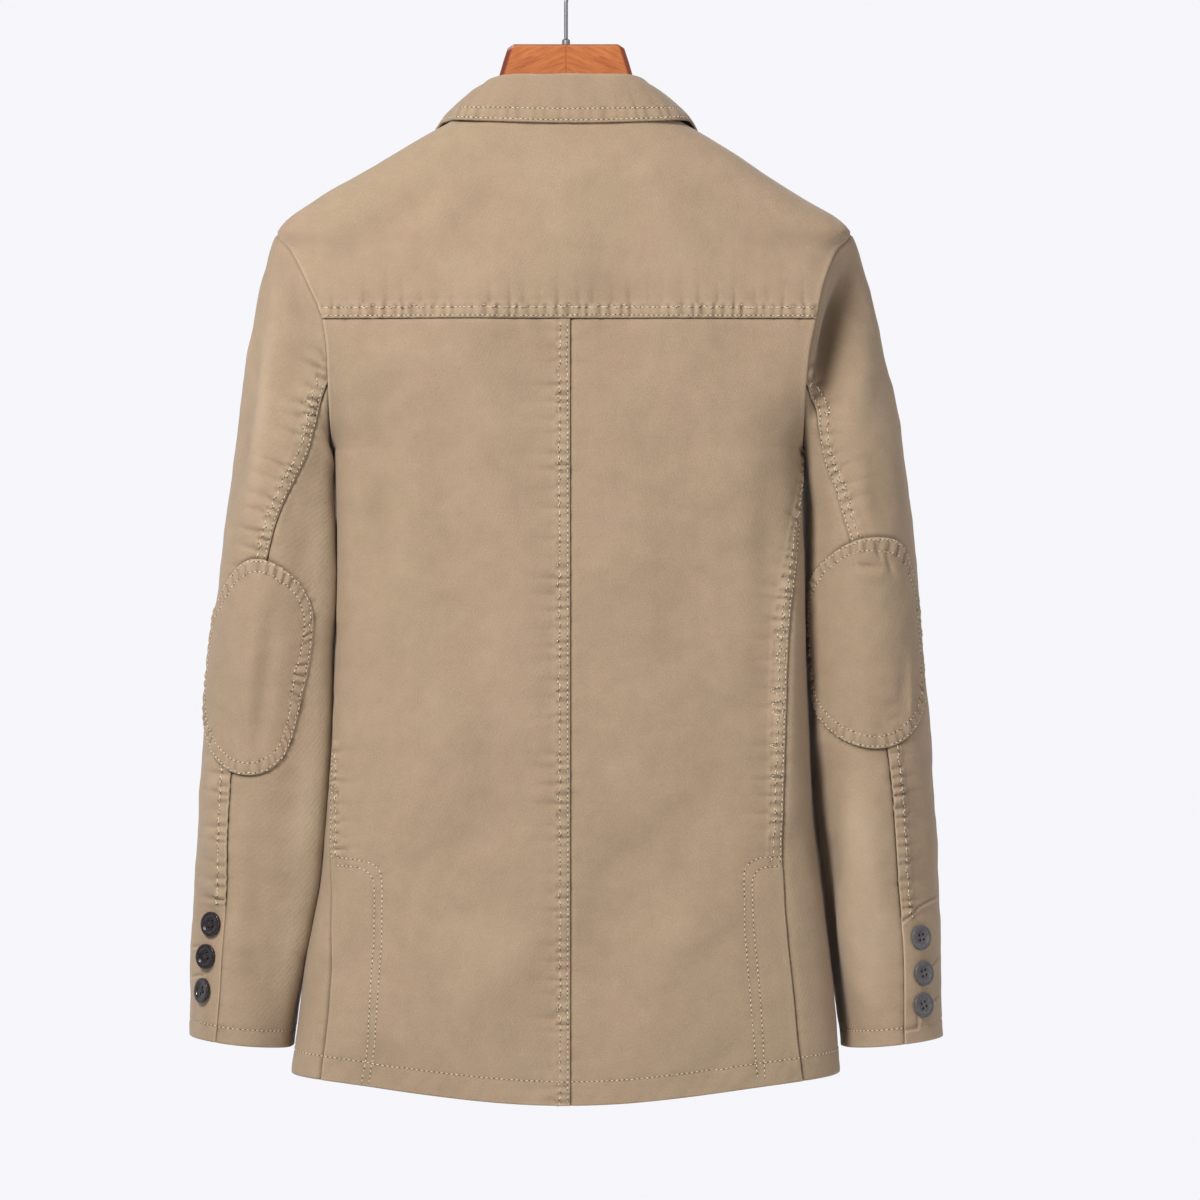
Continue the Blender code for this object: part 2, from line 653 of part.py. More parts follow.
def collar_station(side, row):
    """The visible face at one station, from the stand's foot over the fold to the edge."""
    mirror = np.array([side, 1.0, 1.0])
    foot = mirror * [COLLAR[name][row] for name in ("foot_x", "foot_y", "foot_z")]
    fold = mirror * [COLLAR[name][row] for name in ("fold_x", "fold_y", "fold_z")]
    edge = collar_edge(side, row)
    away = unit((edge - foot) * [1.0, 1.0, 0.0])
    up = np.array([0.0, 0.0, 1.0])
    inner = fold - FOLD_RADIUS * (away + up)
    outer = fold + FOLD_RADIUS * (away - up)
    bulge = unit(np.cross(np.cross(edge - outer, away), edge - outer))
    last = row == len(COLLAR["place"]) - 1
    middle = (outer + edge) / 2.0 + FALL_BULGE * bulge
    if last:
        middle = on_front(side, np.array(side * GORGE[0]), np.array(GORGE[1]), GORGE_LIFT)
    upper = (outer + middle) / 2.0 + FALL_BULGE * bulge * (0.15 if last else 0.3)
    lower = (middle + edge) / 2.0 + FALL_BULGE * bulge * (0.0 if last else 0.3)
    return np.array([foot, (foot + inner) / 2.0, inner, fold, outer, upper, middle, lower, edge])


def make_collar():
    """Stand and fall in one folded piece, from one front end round the neck to the other."""
    stations = len(COLLAR["place"])
    left = [collar_station(-1, row) for row in range(stations - 1, 0, -1)]
    right = [collar_station(1, row) for row in range(stations)]
    coarse = np.array(left + right)
    places = np.concatenate((-COLLAR["place"][:0:-1], COLLAR["place"]))
    fine = np.linspace(-1.0, 1.0, COLLAR_STATIONS)
    points = np.empty((len(fine),) + coarse.shape[1:])
    for across in range(coarse.shape[1]):
        for axis in range(3):
            points[:, across, axis] = smooth(places, coarse[:, across, axis], fine)
    out = grid_directions(points, np.array([0.0, 0.0, 1.0]))
    cloth("collar", points, out)


# ---------------------------------------------------------------- sleeves and patches

CAP_TURNS = np.degrees(np.arccos((YOKE_ARM_LEVELS - ARM_MID) / ARM_REACH))
UNDER_TURNS = np.degrees(np.arccos(np.clip((BACK_ARM_LEVELS - ARM_MID) / ARM_REACH, -1, 1)))
ARM_TURNS = np.concatenate((CAP_TURNS, UNDER_TURNS[1:]))
SEAM_AT = 2                     # the back seam starts at this point of the lower armhole
RING_LEVELS = ARM_MID + (CUFF - ARM_MID) * np.linspace(0.0, 1.0, SLEEVE_RINGS) ** 1.2


def sleeve_turns(side, level, first):
    """Turns of the columns of a sleeve panel at one ring: those of the armhole at the top,
    evenly spread between the seams further down."""
    seam_turn = read(SLEEVE_SEAM[side], "turn", level)
    top_seam = UNDER_TURNS[SEAM_AT]
    front_turn = 360.0 - FOREARM_SEAM
    fade = ease((level - ARM_MID) / (CAP_END - ARM_MID))
    back_turns = ARM_TURNS[ARM_TURNS <= top_seam + TINY]
    outer_top = np.concatenate((-back_turns[:0:-1], back_turns))
    inner_back = ARM_TURNS[ARM_TURNS >= top_seam - TINY]
    inner_top = np.concatenate((inner_back, 360.0 - inner_back[-2::-1]))
    top = outer_top if first == "front" else inner_top
    start, end = (-front_turn, seam_turn) if first == "front" else (seam_turn, FOREARM_SEAM)
    even = np.linspace(start, end, len(top))
    return top * (1.0 - fade) + even * fade


def make_sleeve_panel(name, side, first):
    """One panel of a two-piece sleeve; the topsleeve starts at the front seam."""
    turns = np.array([sleeve_turns(side, level, first) for level in RING_LEVELS])
    points, out = sleeve_face(side, turns, RING_LEVELS[:, None])
    shared, over = armhole_rim(side, (turns[0] + 180.0) % 360.0 - 180.0)
    points = inset(points)
    out[0] = shared
    out[1] = unit(out[1] + shared)
    points[0] += GAP / 2.0 * over
    return cloth(name, points, out)


def make_patch(name, side):
    """An oval elbow patch laid on a sleeve's back."""
    sizes = PATCHES[side]
    sideways = np.linspace(-1.0, 1.0, PATCH_COLUMNS)[None, :]
    along = np.linspace(-1.0, 1.0, PATCH_ROWS)[:, None]
    round_x = sideways * np.sqrt(1.0 - along ** 2 / 2.0)
    round_y = along * np.sqrt(1.0 - sideways ** 2 / 2.0)
    turn = sizes["turn"] + sizes["half_turn"] * round_x
    level = sizes["level"] + sizes["half_length"] * round_y
    points, out = sleeve_face(side, turn, level)
    cloth(name, points + PATCH_LIFT * out, out, material_name="patch")


# ---------------------------------------------------------------- buttons

def turned(name, profile, steps, material_name):
    """A profile of (radius, height) points turned round Z with a Screw modifier."""
    mesh = bpy.data.meshes.new(name)
    points = [(radius * MM, 0.0, height * MM) for radius, height in profile]
    mesh.from_pydata(points, [(i, i + 1) for i in range(len(points) - 1)], [])
    piece = add_object(name, mesh, material_name)
    screw = piece.modifiers.new("turn", "SCREW")
    screw.steps = steps
    screw.render_steps = steps
    screw.use_merge_vertices = True
    screw.merge_threshold = 0.0001
    screw.use_smooth_shade = False
    return piece


BUTTON_PROFILE = [(0.0, 1.7), (4.6, 1.7), (6.4, 2.5), (7.9, 2.6), (8.8, 1.9), (9.0, 0.9),
                  (8.0, 0.0), (0.0, 0.0)]


def sew_button(name, wall_piece, origin, direction, material_name):
    """Seats a button on the wall that a line from outside meets first."""
    hit, place, facing, _ = wall_piece.ray_cast(origin * MM, direction)
    if not hit:
        raise ValueError("no cloth under " + name)
    button = turned(name, BUTTON_PROFILE, BUTTON_STEPS, material_name)
    button.location = place + facing * BUTTON_SEAT * MM
    button.rotation_mode = "QUATERNION"
    button.rotation_quaternion = facing.to_track_quat("Z", "Y")


# ---------------------------------------------------------------- hanger

# Half of the hanger's neck and arms, from the centre out: the top edge and the point of the
# lower edge under it. Further out the top edge follows the shoulder line.
HANGER = table("place top_x top_z low_x low_z", [
    (0, 0.0, -80.0, 0.0, -131.0),
    (1, 20.0, -80.0, 17.0, -132.0),
    (2, 38.0, -80.0, 32.0, -135.0),
    (3, 42.5, -83.0, 39.0, -139.0),
    (4, 45.5, -92.0, 46.0, -143.5),
    (5, 49.0, -104.0, 54.0, -148.5),
    (6, 56.0, -118.0, 62.0, -153.0),
    (7, 66.0, -130.0, 72.0, -158.5),
])
ARM_HEIGHT = 30.0               # of the wooden arm
ARM_STATIONS = [80, 100, 120, 140, 160, 180, 190, WOOD_END]
ARM_ROUNDING = [0, 0, 0, 0, 0, 0, 2.0, 7.0]     # cut off the arm's top and bottom at its end


def shoulder_height(side, reach):
    """Height of the shoulder line at a distance from the middle."""
    name = "left" if side < 0 else "right"
    levels = np.linspace(ARM_TOP, NECK, 200)
    reaches = side * read(BODY, name, levels)
    return np.interp(reach, reaches[::-1], levels[::-1])


def hanger_half(side):
    """Top and bottom points of one half of the hanger, from the centre out."""
    top = [(side * x, z) for x, z in zip(HANGER["top_x"], HANGER["top_z"])]
    low = [(side * x, z) for x, z in zip(HANGER["low_x"], HANGER["low_z"])]
    for reach, rounding in zip(ARM_STATIONS, ARM_ROUNDING):
        height = shoulder_height(side, reach) - WOOD_DROP
        top.append((side * reach, height - rounding))
        low.append((side * (reach + 4.0), height - ARM_HEIGHT + rounding))
    return top, low


def make_hanger_wood():
    """The wooden hanger, its arms seated just under the shoulders."""
    left_top, left_low = hanger_half(-1)
    right_top, right_low = hanger_half(1)
    top = np.array(left_top[:0:-1] + right_top)
    low = np.array(left_low[:0:-1] + right_low)
    part = np.linspace(0.0, 1.0, 3)[:, None, None]
    flat = top * (1.0 - part) + low * part
    back = np.stack([flat[..., 0], np.full(flat.shape[:2], -WOOD_THICK / 2), flat[..., 1]], -1)
    front = back + [0.0, WOOD_THICK, 0.0]
    piece = wall("hanger_wood", back, front, "wood")
    rounding = piece.modifiers.new("rounded edges", "BEVEL")
    rounding.width = 2.0 * MM
    rounding.segments = 2
    rounding.limit_method = "ANGLE"
    rounding.angle_limit = math.radians(50)


def make_ferrule():
    """The metal collar where the hook enters the wood."""
    bottom = WOOD_TOP + GAP
    profile = [(0.0, FERRULE_HEIGHT), (2.2, FERRULE_HEIGHT), (3.0, 3.2), (3.0, 0.0), (0.0, 0.0)]
    piece = turned("hanger_ferrule", profile, FERRULE_STEPS, "steel")
    piece.location.z = bottom * MM


def make_hook():
    """A wire that rises from the ferrule and bends round over the origin."""
    bend = HOOK_INSIDE + HOOK_RADIUS
    centre_z = -HOOK_INSIDE
    stem_bottom = WOOD_TOP + GAP + FERRULE_HEIGHT + GAP
    points = [(0.0, stem_bottom), (0.0, -66.0), (0.0, -58.0), (1.2, -51.0), (5.0, -44.5)]
    for angle in np.radians(np.linspace(-48.0, 205.0, BEND_POINTS)):
        points.append((bend * math.cos(angle), centre_z + bend * math.sin(angle)))
    curve = bpy.data.curves.new("hanger_hook", "CURVE")
    curve.dimensions = "3D"
    curve.bevel_depth = HOOK_RADIUS * MM
    curve.bevel_resolution = 2
    curve.use_fill_caps = True
    wire = curve.splines.new("POLY")
    wire.points.add(len(points) - 1)
    for knot, (x, z) in zip(wire.points, points):
        knot.co = (x * MM, 0.0, z * MM, 1.0)
    curve.materials.append(material("steel"))
    bpy.data.collections[GARMENT].objects.link(bpy.data.objects.new("hanger_hook", curve))


# ---------------------------------------------------------------- the whole blazer

def clear_scene():
    """Removes what the file opened with, and makes the garment's collection."""
    for old in list(bpy.data.objects):
        bpy.data.objects.remove(old, do_unlink=True)
    collection = bpy.data.collections.new(GARMENT)
    bpy.context.scene.collection.children.link(collection)


def main():
    clear_scene()
    make_yoke()
    sides = (("left", -1), ("right", 1))
    fronts = {}
    for word, side in sides:
        make_back("back_" + word, side)
        make_side("side_" + word, side)
        fronts[side] = make_front("front_" + word, side)
        make_lapel("lapel_" + word, side)
    make_collar()
    for word, side in sides:
        top = make_sleeve_panel("topsleeve_" + word, side, "front")
        make_sleeve_panel("undersleeve_" + word, side, "back")
        make_patch("patch_" + word, side)
        bpy.context.view_layer.update()
        button_material = "dark_button" if side < 0 else "grey_button"
        for number, (x, z) in enumerate(SLEEVE_BUTTONS[side], 1):
            name = "button_" + word + "_" + str(number)
            origin = np.array([x, -200.0, z])
            sew_button(name, top, origin, (0.0, 1.0, 0.0), button_material)
    for number, (x, z) in enumerate(FRONT_BUTTONS, 1):
        origin = np.array([x, 200.0, z])
        name = "button_front_" + str(number)
        sew_button(name, fronts[-1], origin, (0.0, -1.0, 0.0), "dark_button")
    make_hanger_wood()
    make_ferrule()
    make_hook()


main()
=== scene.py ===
import math
import bpy
import numpy as np
from mathutils import Matrix, Vector
from mathutils.bvhtree import BVHTree


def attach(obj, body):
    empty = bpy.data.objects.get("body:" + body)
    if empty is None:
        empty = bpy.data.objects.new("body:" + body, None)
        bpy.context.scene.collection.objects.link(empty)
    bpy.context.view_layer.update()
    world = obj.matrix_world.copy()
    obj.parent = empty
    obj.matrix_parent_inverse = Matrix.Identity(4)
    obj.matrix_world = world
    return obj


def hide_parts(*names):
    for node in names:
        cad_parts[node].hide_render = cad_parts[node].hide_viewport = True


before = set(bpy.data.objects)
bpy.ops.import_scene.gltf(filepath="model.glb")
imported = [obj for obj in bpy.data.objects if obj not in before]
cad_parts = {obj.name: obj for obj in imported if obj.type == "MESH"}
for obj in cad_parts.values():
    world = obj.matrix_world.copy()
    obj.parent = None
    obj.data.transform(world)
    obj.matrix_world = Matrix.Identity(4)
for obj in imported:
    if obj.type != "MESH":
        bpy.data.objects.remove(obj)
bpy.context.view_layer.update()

mm = 0.001            # everything is worked out in mm and becomes metres in a mesh
sideWords = {-1: "Left", 1: "Right"}       # as seen from behind
tiny = 1e-6
bpy.ops.object.select_all(action="DESELECT")
print("frame loaded")


# small helpers
def table(names, rows):
    return dict(zip(names.split(), np.array(sorted(rows), dtype=float).T))


def ease(part):
    part = np.clip(part, 0.0, 1.0)
    return part * part * (3.0 - 2.0 * part)


def paired(first, second):           # two arrays of numbers, stretched to one shape
    return np.broadcast_arrays(np.asarray(first, float), np.asarray(second, float))


def lengthsAlong(points):            # of each point from the line's start
    return np.concatenate(([0.0], np.cumsum(np.linalg.norm(np.diff(points, axis=0), axis=1))))


def pointsAt(at, lengths, points):
    return np.stack([np.interp(at, lengths, points[:, axis]) for axis in range(points.shape[1])], axis=-1)


def smooth(places, values, at):      # smooth curve through the values, level where they turn
    span = np.diff(places)
    rise = np.diff(values) / span
    before, after = rise[:-1], rise[1:]
    sameWay = before * after > 0.0
    total = np.where(sameWay, before + after, 1.0)
    inner = np.where(sameWay, 2.0 * before * after / total, 0.0)
    slope = np.concatenate(([rise[0]], inner, [rise[-1]]))
    at = np.clip(at, places[0], places[-1])
    cell = np.clip(np.searchsorted(places, at, side="right") - 1, 0, len(span) - 1)
    part = (at - places[cell]) / span[cell]
    rest = 1.0 - part
    start = values[cell] * (1.0 + 2.0 * part) + slope[cell] * span[cell] * part
    end = values[cell + 1] * (1.0 + 2.0 * rest) - slope[cell + 1] * span[cell] * rest
    return start * rest ** 2 + end * part ** 2


def read(rows, name, at):
    return smooth(next(iter(rows.values())), rows[name], at)


def unit(vectors):
    return vectors / np.maximum(np.linalg.norm(vectors, axis=-1, keepdims=True), 1e-12)


def hill(distance, width):
    return np.exp(-(distance / width) ** 2)


def foldHeight(folds, x, z):         # rows of x1 z1 x2 z2 width depth, as seen from behind
    height = np.zeros_like(x)
    for x1, z1, x2, z2, width, depth in folds:
        length = math.hypot(x2 - x1, z2 - z1)
        along = ((x - x1) * (x2 - x1) + (z - z1) * (z2 - z1)) / length ** 2
        aside = ((x - x1) * (z2 - z1) - (z - z1) * (x2 - x1)) / length
        height += depth * np.sin(np.pi * np.clip(along, 0.0, 1.0)) * hill(aside, width)
    return height


def wobble(along, size, seed):       # smooth uneven line between about -1 and 1
    pick = np.random.RandomState(seed)
    total = np.zeros_like(along)
    for stretch in (0.6, 1.0, 1.7, 2.9):
        total += np.sin(along * 2 * math.pi / (size * stretch) + pick.uniform(0, 2 * math.pi))
    return total / 2.4


def ripple(points, size, seed):      # smooth uneven field in space between about -1 and 1
    pick = np.random.RandomState(seed)
    total = np.zeros(points.shape[:-1])
    for wave in range(14):
        way = unit(pick.normal(size=3)) * 2 * math.pi / (size * pick.uniform(0.7, 2.0))
        total += np.sin(points @ way + pick.uniform(0, 2 * math.pi))
    return total / 4.5


# the blazer's form, the same as the solids'
clothThick, gap = 1.6, 0.3
lift = clothThick + gap
neck, yokeSeam, armTop, armBottom, hem = -128.0, -283.0, -219.0, -376.0, -828.0
hemDrop, dropStart = -19.0, -560.0
armMid, armReach, armDepth, frontCut = (armTop + armBottom) / 2, (armTop - armBottom) / 2, 54.0, 7.0
centreSeam = 3.7
square = {"back": 3.2, "front": 2.8}
cuff, capEnd, forearmSeam = -807.0, -400.0, 245.0

body = table("level left right back front", [
    (-128, -69.5, 71.0, 36.0, 38.0), (-138, -86.0, 87.5, 39.0, 41.0),
    (-155, -115.0, 114.5, 43.0, 45.0), (-175, -149.0, 146.0, 48.0, 50.0),
    (-195, -183.0, 178.0, 51.5, 54.0), (-209, -204.0, 200.0, 53.5, 56.0),
    (-219, -210.3, 207.3, 55.0, 57.5), (-232, -199.5, 196.0, 56.5, 59.0),
    (-262, -183.7, 184.6, 59.0, 61.5), (-283, -175.0, 180.2, 60.0, 63.0),
    (-311, -171.6, 174.9, 61.0, 64.0), (-340, -171.0, 173.0, 61.5, 65.0),
    (-376, -170.0, 172.3, 62.0, 65.0), (-430, -167.5, 173.0, 61.0, 63.0),
    (-500, -168.0, 174.0, 60.0, 62.0), (-560, -170.0, 176.0, 58.5, 60.5),
    (-626, -173.7, 179.0, 58.0, 60.0), (-690, -179.0, 186.3, 59.0, 60.0),
    (-747, -190.5, 192.5, 61.0, 61.0), (-785, -195.0, 196.4, 62.0, 61.5),
    (-828, -200.0, 200.0, 63.0, 62.0),
])
sideSeams = table("level left right", [
    (-376, -170.0, 172.3), (-445, -166.0, 166.4), (-509, -166.5, 157.8), (-560, -168.0, 156.8),
    (-628, -170.0, 156.1), (-675, -170.0, 156.5), (-708, -169.2, 158.0), (-754, -169.5, 162.5),
    (-792, -172.1, 166.0), (-828, -176.2, 170.5),
])
frontSeams = table("level past", [(-376, 0.0), (-430, 0.09), (-520, 0.15), (-828, 0.17)])
frontEdges = table("level reach", [
    (-132, 66.0), (-140, 62.0), (-150, 57.0), (-200, 48.5), (-300, 29.0), (-400, 8.0),
    (-480, -9.0), (-520, -19.0), (-720, -19.0), (-780, -8.0), (-812, 10.0), (-828, 34.0),
])
backFolds = [       # the solids' own broad troughs and ridges
    (-128, -330, -136, -640, 20, -1.8), (-84, -300, -92, -520, 15, -1.2),
    (-40, -420, -58, -800, 24, -1.5), (74, -330, 86, -600, 22, -1.8),
    (52, -560, 30, -820, 26, -1.6), (118, -430, 108, -700, 18, -1.2),
    (-150, -240, -60, -160, 16, -1.5), (152, -236, 70, -165, 16, -1.5),
    (-110, -700, -20, -760, 20, 1.4), (140, -640, 60, -780, 22, 1.4),
]
frontFolds = [
    (-110, -300, -122, -560, 20, -1.8), (-80, -560, -104, -820, 24, -1.6),
    (104, -320, 126, -600, 20, -1.8), (70, -580, 92, -820, 24, -1.6),
]
ringNames = "level outerX outerZ innerX innerZ back front"
sleeves = {
    -1: table(ringNames, [
        (-297.5, -210.3, -219, -170.0, -376, -54, 54), (-319.0, -222.0, -252, -172.8, -386, -47, 64),
        (-346.5, -231.0, -295, -174.0, -398, -45, 70), (-387.0, -239.4, -354, -173.0, -420, -46, 73),
        (-441.0, -249.0, -427, -170.4, -455, -48, 72), (-505.0, -257.7, -500, -171.2, -510, -47, 68),
        (-560.0, -264.3, -558, -173.0, -562, -44, 65), (-632.5, -268.6, -631, -176.9, -634, -40, 62),
        (-692.0, -272.5, -690, -183.0, -694, -37, 60), (-743.5, -274.5, -741, -193.2, -746, -35, 60),
        (-807.0, -276.0, -803, -200.7, -811, -33, 60),
    ]),
    1: table(ringNames, [
        (-297.5, 207.3, -219, 172.3, -376, -54, 54), (-319.0, 220.5, -252, 175.2, -386, -45, 64),
        (-346.5, 231.5, -295, 176.5, -398, -41, 70), (-387.0, 243.5, -354, 176.8, -420, -42, 73),
        (-441.0, 253.0, -427, 176.5, -455, -45, 72), (-505.0, 259.8, -500, 177.2, -510, -45, 68),
        (-560.0, 264.8, -558, 179.3, -562, -43, 65), (-632.5, 270.0, -631, 183.0, -634, -39, 62),
        (-692.0, 272.3, -690, 190.0, -694, -36, 60), (-743.5, 274.2, -741, 195.6, -746, -34, 60),
        (-807.0, 276.0, -803, 201.3, -811, -32, 60),
    ]),
}
sleeveSeams = {      # the back seams, as the photograph has them: degrees from the sleeve's outer edge
    -1: table("level turn", [
        (-297.5, 134), (-318, 133), (-345, 123), (-391, 108), (-430, 91), (-458, 84.5),
        (-560, 66), (-632.5, 64.5), (-692, 67), (-743.5, 68.5), (-775, 68), (-807, 64.5),
    ]),
    1: table("level turn", [
        (-297.5, 142), (-337.6, 136.5), (-388, 119), (-419, 111), (-441, 104), (-560, 82),
        (-600, 78.5), (-632.5, 76.5), (-692, 77), (-743.5, 76.5), (-807, 80),
    ]),
}

lowest, highest, levelStep, places, finePlaces = -834.0, -124.0, 2.0, 321, 2000


def halfSection(half, level):
    power = 2.0 / square[half]
    depth = read(body, half, level)
    cut = armDepth * math.sqrt(1.0 - np.clip((level - armMid) / armReach, -1.0, 1.0) ** 2)
    furtherIn = frontCut * (cut / armDepth) ** 2 if half == "front" else 0.0
    left = read(body, "left", level) + furtherIn
    right = read(body, "right", level) - furtherIn
    start = math.asin((cut / depth) ** (1.0 / power))
    spread = (1.0 - np.cos(np.linspace(0.0, np.pi, finePlaces))) / 2.0
    angle = math.pi - start + (2.0 * start - math.pi) * spread
    reach = (right - left) / 2.0 / math.cos(start) ** power
    cosine = np.cos(angle)
    x = (left + right) / 2.0 + reach * np.sign(cosine) * np.abs(cosine) ** power
    y = depth * np.abs(np.sin(angle)) ** power
    line = np.stack([x, -y if half == "back" else y], axis=-1)
    length = np.concatenate(([0.0], np.cumsum(np.hypot(np.diff(x), np.diff(y)))))
    return pointsAt(np.linspace(0.0, length[-1], places), length, line)


sectionLevels = np.arange(lowest, highest, levelStep)
sections = {half: np.array([halfSection(half, level) for level in sectionLevels])
            for half in ("back", "front")}


def readSection(half, across, level):
    grid = sections[half]
    row = np.clip((level - lowest) / levelStep, 0.0, grid.shape[0] - 1.0 - tiny)
    place = np.clip((across + 1.0) / 2.0, 0.0, 1.0 - tiny / 10) * (places - 1)
    r, p = row.astype(int), place.astype(int)
    rowPart, placePart = (row - r)[..., None], (place - p)[..., None]
    low = grid[r, p] * (1.0 - placePart) + grid[r, p + 1] * placePart
    high = grid[r + 1, p] * (1.0 - placePart) + grid[r + 1, p + 1] * placePart
    return low * (1.0 - rowPart) + high * rowPart


def acrossAt(half, x, level):        # halving search for where an x lies on a section
    x, level = paired(x, level)
    low, high = -np.ones(x.shape), np.ones(x.shape)
    for step in range(26):
        middle = (low + high) / 2
        before = readSection(half, middle, level)[..., 0] < x
        low, high = np.where(before, middle, low), np.where(before, high, middle)
    return (low + high) / 2


def hangs(around, level):            # how much lower the cloth is towards the hem's middle
    drop = hemDrop * (1.0 + np.cos(np.pi * around)) / 2.0
    return drop * ease((level - dropStart) / (hem - dropStart))


def bodyPoint(around, level):        # 0 back centre, -1 and 1 the side lines, -2 and 2 front centre
    around, level = paired(around, level)
    behind = np.abs(around) <= 1.0
    across = np.where(behind, around, np.sign(around) * (2.0 - np.abs(around)))
    halves = [readSection(half, across, level) for half in ("back", "front")]
    flat = np.where(behind[..., None], *halves)
    return np.concatenate([flat, (level + hangs(around, level))[..., None]], axis=-1)


def bodyFace(around, level):         # points of the outer face and the way out of it
    around, level = paired(around, level)
    behind = np.abs(around) <= 1.0
    first = np.where(behind, -1.0, np.where(around > 0.0, 1.0 + tiny, -3.0))
    last = np.where(behind, 1.0, np.where(around > 0.0, 3.0, -1.0 - tiny))
    sideways = bodyPoint(np.minimum(around + 0.004, last), level)
    sideways = sideways - bodyPoint(np.maximum(around - 0.004, first), level)
    upward = bodyPoint(around, level + 1.5) - bodyPoint(around, level - 1.5)
    out = unit(np.cross(sideways, upward))
    point = bodyPoint(around, level)
    x, z = point[..., 0], point[..., 2]
    fold = np.where(behind, foldHeight(backFolds, x, z), foldHeight(frontFolds, x, z))
    return point + out * fold[..., None], out


def armholeBow(side, cosine, sine):
    name = "left" if side < 0 else "right"
    top, bottom = read(body, name, armTop), read(body, name, armBottom)
    edge = read(body, name, armMid + armReach * cosine) - side * frontCut * sine ** 2 * (sine < 0.0)
    return edge - (top + bottom) / 2.0 - (top - bottom) / 2.0 * cosine


def sleevePoint(side, turn, level):  # turn: 0 outer edge, 90 back, 180 inner side, 270 front
    turn, level = paired(turn, level)
    names = ringNames.split()[1:]
    outerX, outerZ, innerX, innerZ, back, front = (read(sleeves[side], name, level) for name in names)
    cosine, sine = np.cos(np.radians(turn)), np.sin(np.radians(turn))
    x = (outerX + innerX) / 2.0 + (outerX - innerX) / 2.0 * cosine
    y = (back + front) / 2.0 - (front - back) / 2.0 * sine
    z = (outerZ + innerZ) / 2.0 + (outerZ - innerZ) / 2.0 * cosine
    fade = 1.0 - ease((level - armMid) / (capEnd - armMid))
    return np.stack([x + fade * armholeBow(side, cosine, sine), y, z], axis=-1)


def sleeveFace(side, turn, level):
    turn, level = paired(turn, level)
    sideways = sleevePoint(side, turn + 1.0, level) - sleevePoint(side, turn - 1.0, level)
    upward = sleevePoint(side, turn, np.minimum(level + 2.0, armMid))
    upward = upward - sleevePoint(side, turn, np.maximum(level - 2.0, cuff))
    return sleevePoint(side, turn, level), unit(-side * np.cross(sideways, upward))


def armholeRim(side, turn):
    turn = np.asarray(turn, float)
    level = armMid + armReach * np.cos(np.radians(turn))
    edge = side * np.where(np.sin(np.radians(turn)) >= -tiny, 1.0, 1.0 + tiny)
    shared = unit(bodyFace(edge, level)[1] + sleeveFace(side, turn, armMid)[1])
    tangent = sleevePoint(side, turn + 1.0, armMid) - sleevePoint(side, turn - 1.0, armMid)
    over = unit(np.cross(tangent, shared))
    return shared, over * np.sign(over[..., :1] * side)


def sideSeam(side, levels):
    rows = sideSeams["level"]
    found = acrossAt("back", sideSeams["left" if side < 0 else "right"], rows)
    found[-1] = side
    return np.where(levels >= armBottom, side, smooth(rows, found, levels))


def frontSeam(side, levels):
    return side * (1.0 + tiny + np.where(levels >= armBottom, 0.0, read(frontSeams, "past", levels)))


def frontEdge(side, levels):
    return side * 2.0 - acrossAt("front", side * read(frontEdges, "reach", levels), levels)


def frontRise(x):                    # the left front passes over the right one
    return 6.4 * ease((x + 50.0) / 38.0)


# places read off the photograph, which is 1200 px wide
photo = {"mmPerPixel": 0.73, "middleX": 566.0, "topY": 45.0, "topZ": -80.0,
         "cameraX": 24.8, "cameraZ": -485.0, "away": 3200.0, "backDepth": -60.0, "sleeveDepth": -40.0}


def flatPlace(px, py):               # x and z on the plane through the hook
    x = (np.asarray(px, float) - photo["middleX"]) * photo["mmPerPixel"]
    z = photo["topZ"] - (np.asarray(py, float) - photo["topY"]) * photo["mmPerPixel"]
    return x, z


def atDepth(px, py, depth):          # the same sight line, where it reaches that depth
    x, z = flatPlace(px, py)
    nearer = (photo["away"] + depth) / photo["away"]
    x, z = (photo[name] + (value - photo[name]) * nearer for name, value in (("cameraX", x), ("cameraZ", z)))
    return x, z


def onBack(pixels):                  # around and level of points seen on the back
    px, py = np.array(pixels, float).T
    x, z = atDepth(px, py, photo["backDepth"])
    level = z.copy()
    for step in range(4):
        around = acrossAt("back", x, level)
        level = z - hangs(around, level)
    return around, level


edgeCosine = 0.97                     # nearer the sleeve's edge than this, a place is carried on round it


def onSleeve(side, pixels):          # turn and level of points seen on a sleeve
    px, py = np.array(pixels, float).T
    x, z = atDepth(px, py, photo["sleeveDepth"])
    level = z.copy()
    for step in range(6):
        names = ringNames.split()[1:5]
        outerX, outerZ, innerX, innerZ = (read(sleeves[side], name, level) for name in names)
        cosine = (x - (outerX + innerX) / 2) / ((outerX - innerX) / 2)
        level = np.clip(z - (outerZ - innerZ) / 2 * np.clip(cosine, -1, 1), cuff, armMid)
    turn = np.degrees(np.arccos(np.clip(cosine, -1.0, edgeCosine)))
    past = np.degrees(np.maximum(cosine - edgeCosine, 0.0)) / math.sqrt(1.0 - edgeCosine ** 2)
    return turn - past, level


def resample(points, step):          # a line with points every step mm
    points = np.asarray(points, float)
    length = lengthsAlong(points)
    return pointsAt(np.linspace(0.0, length[-1], max(2, int(round(length[-1] / step)) + 1)), length, points)


def softLine(points):                # rounds the corners of a line drawn with few points
    line = resample(points, 2.0)
    for again in range(4):
        line[1:-1] = (line[:-2] + 2 * line[1:-1] + line[2:]) / 4
    return line


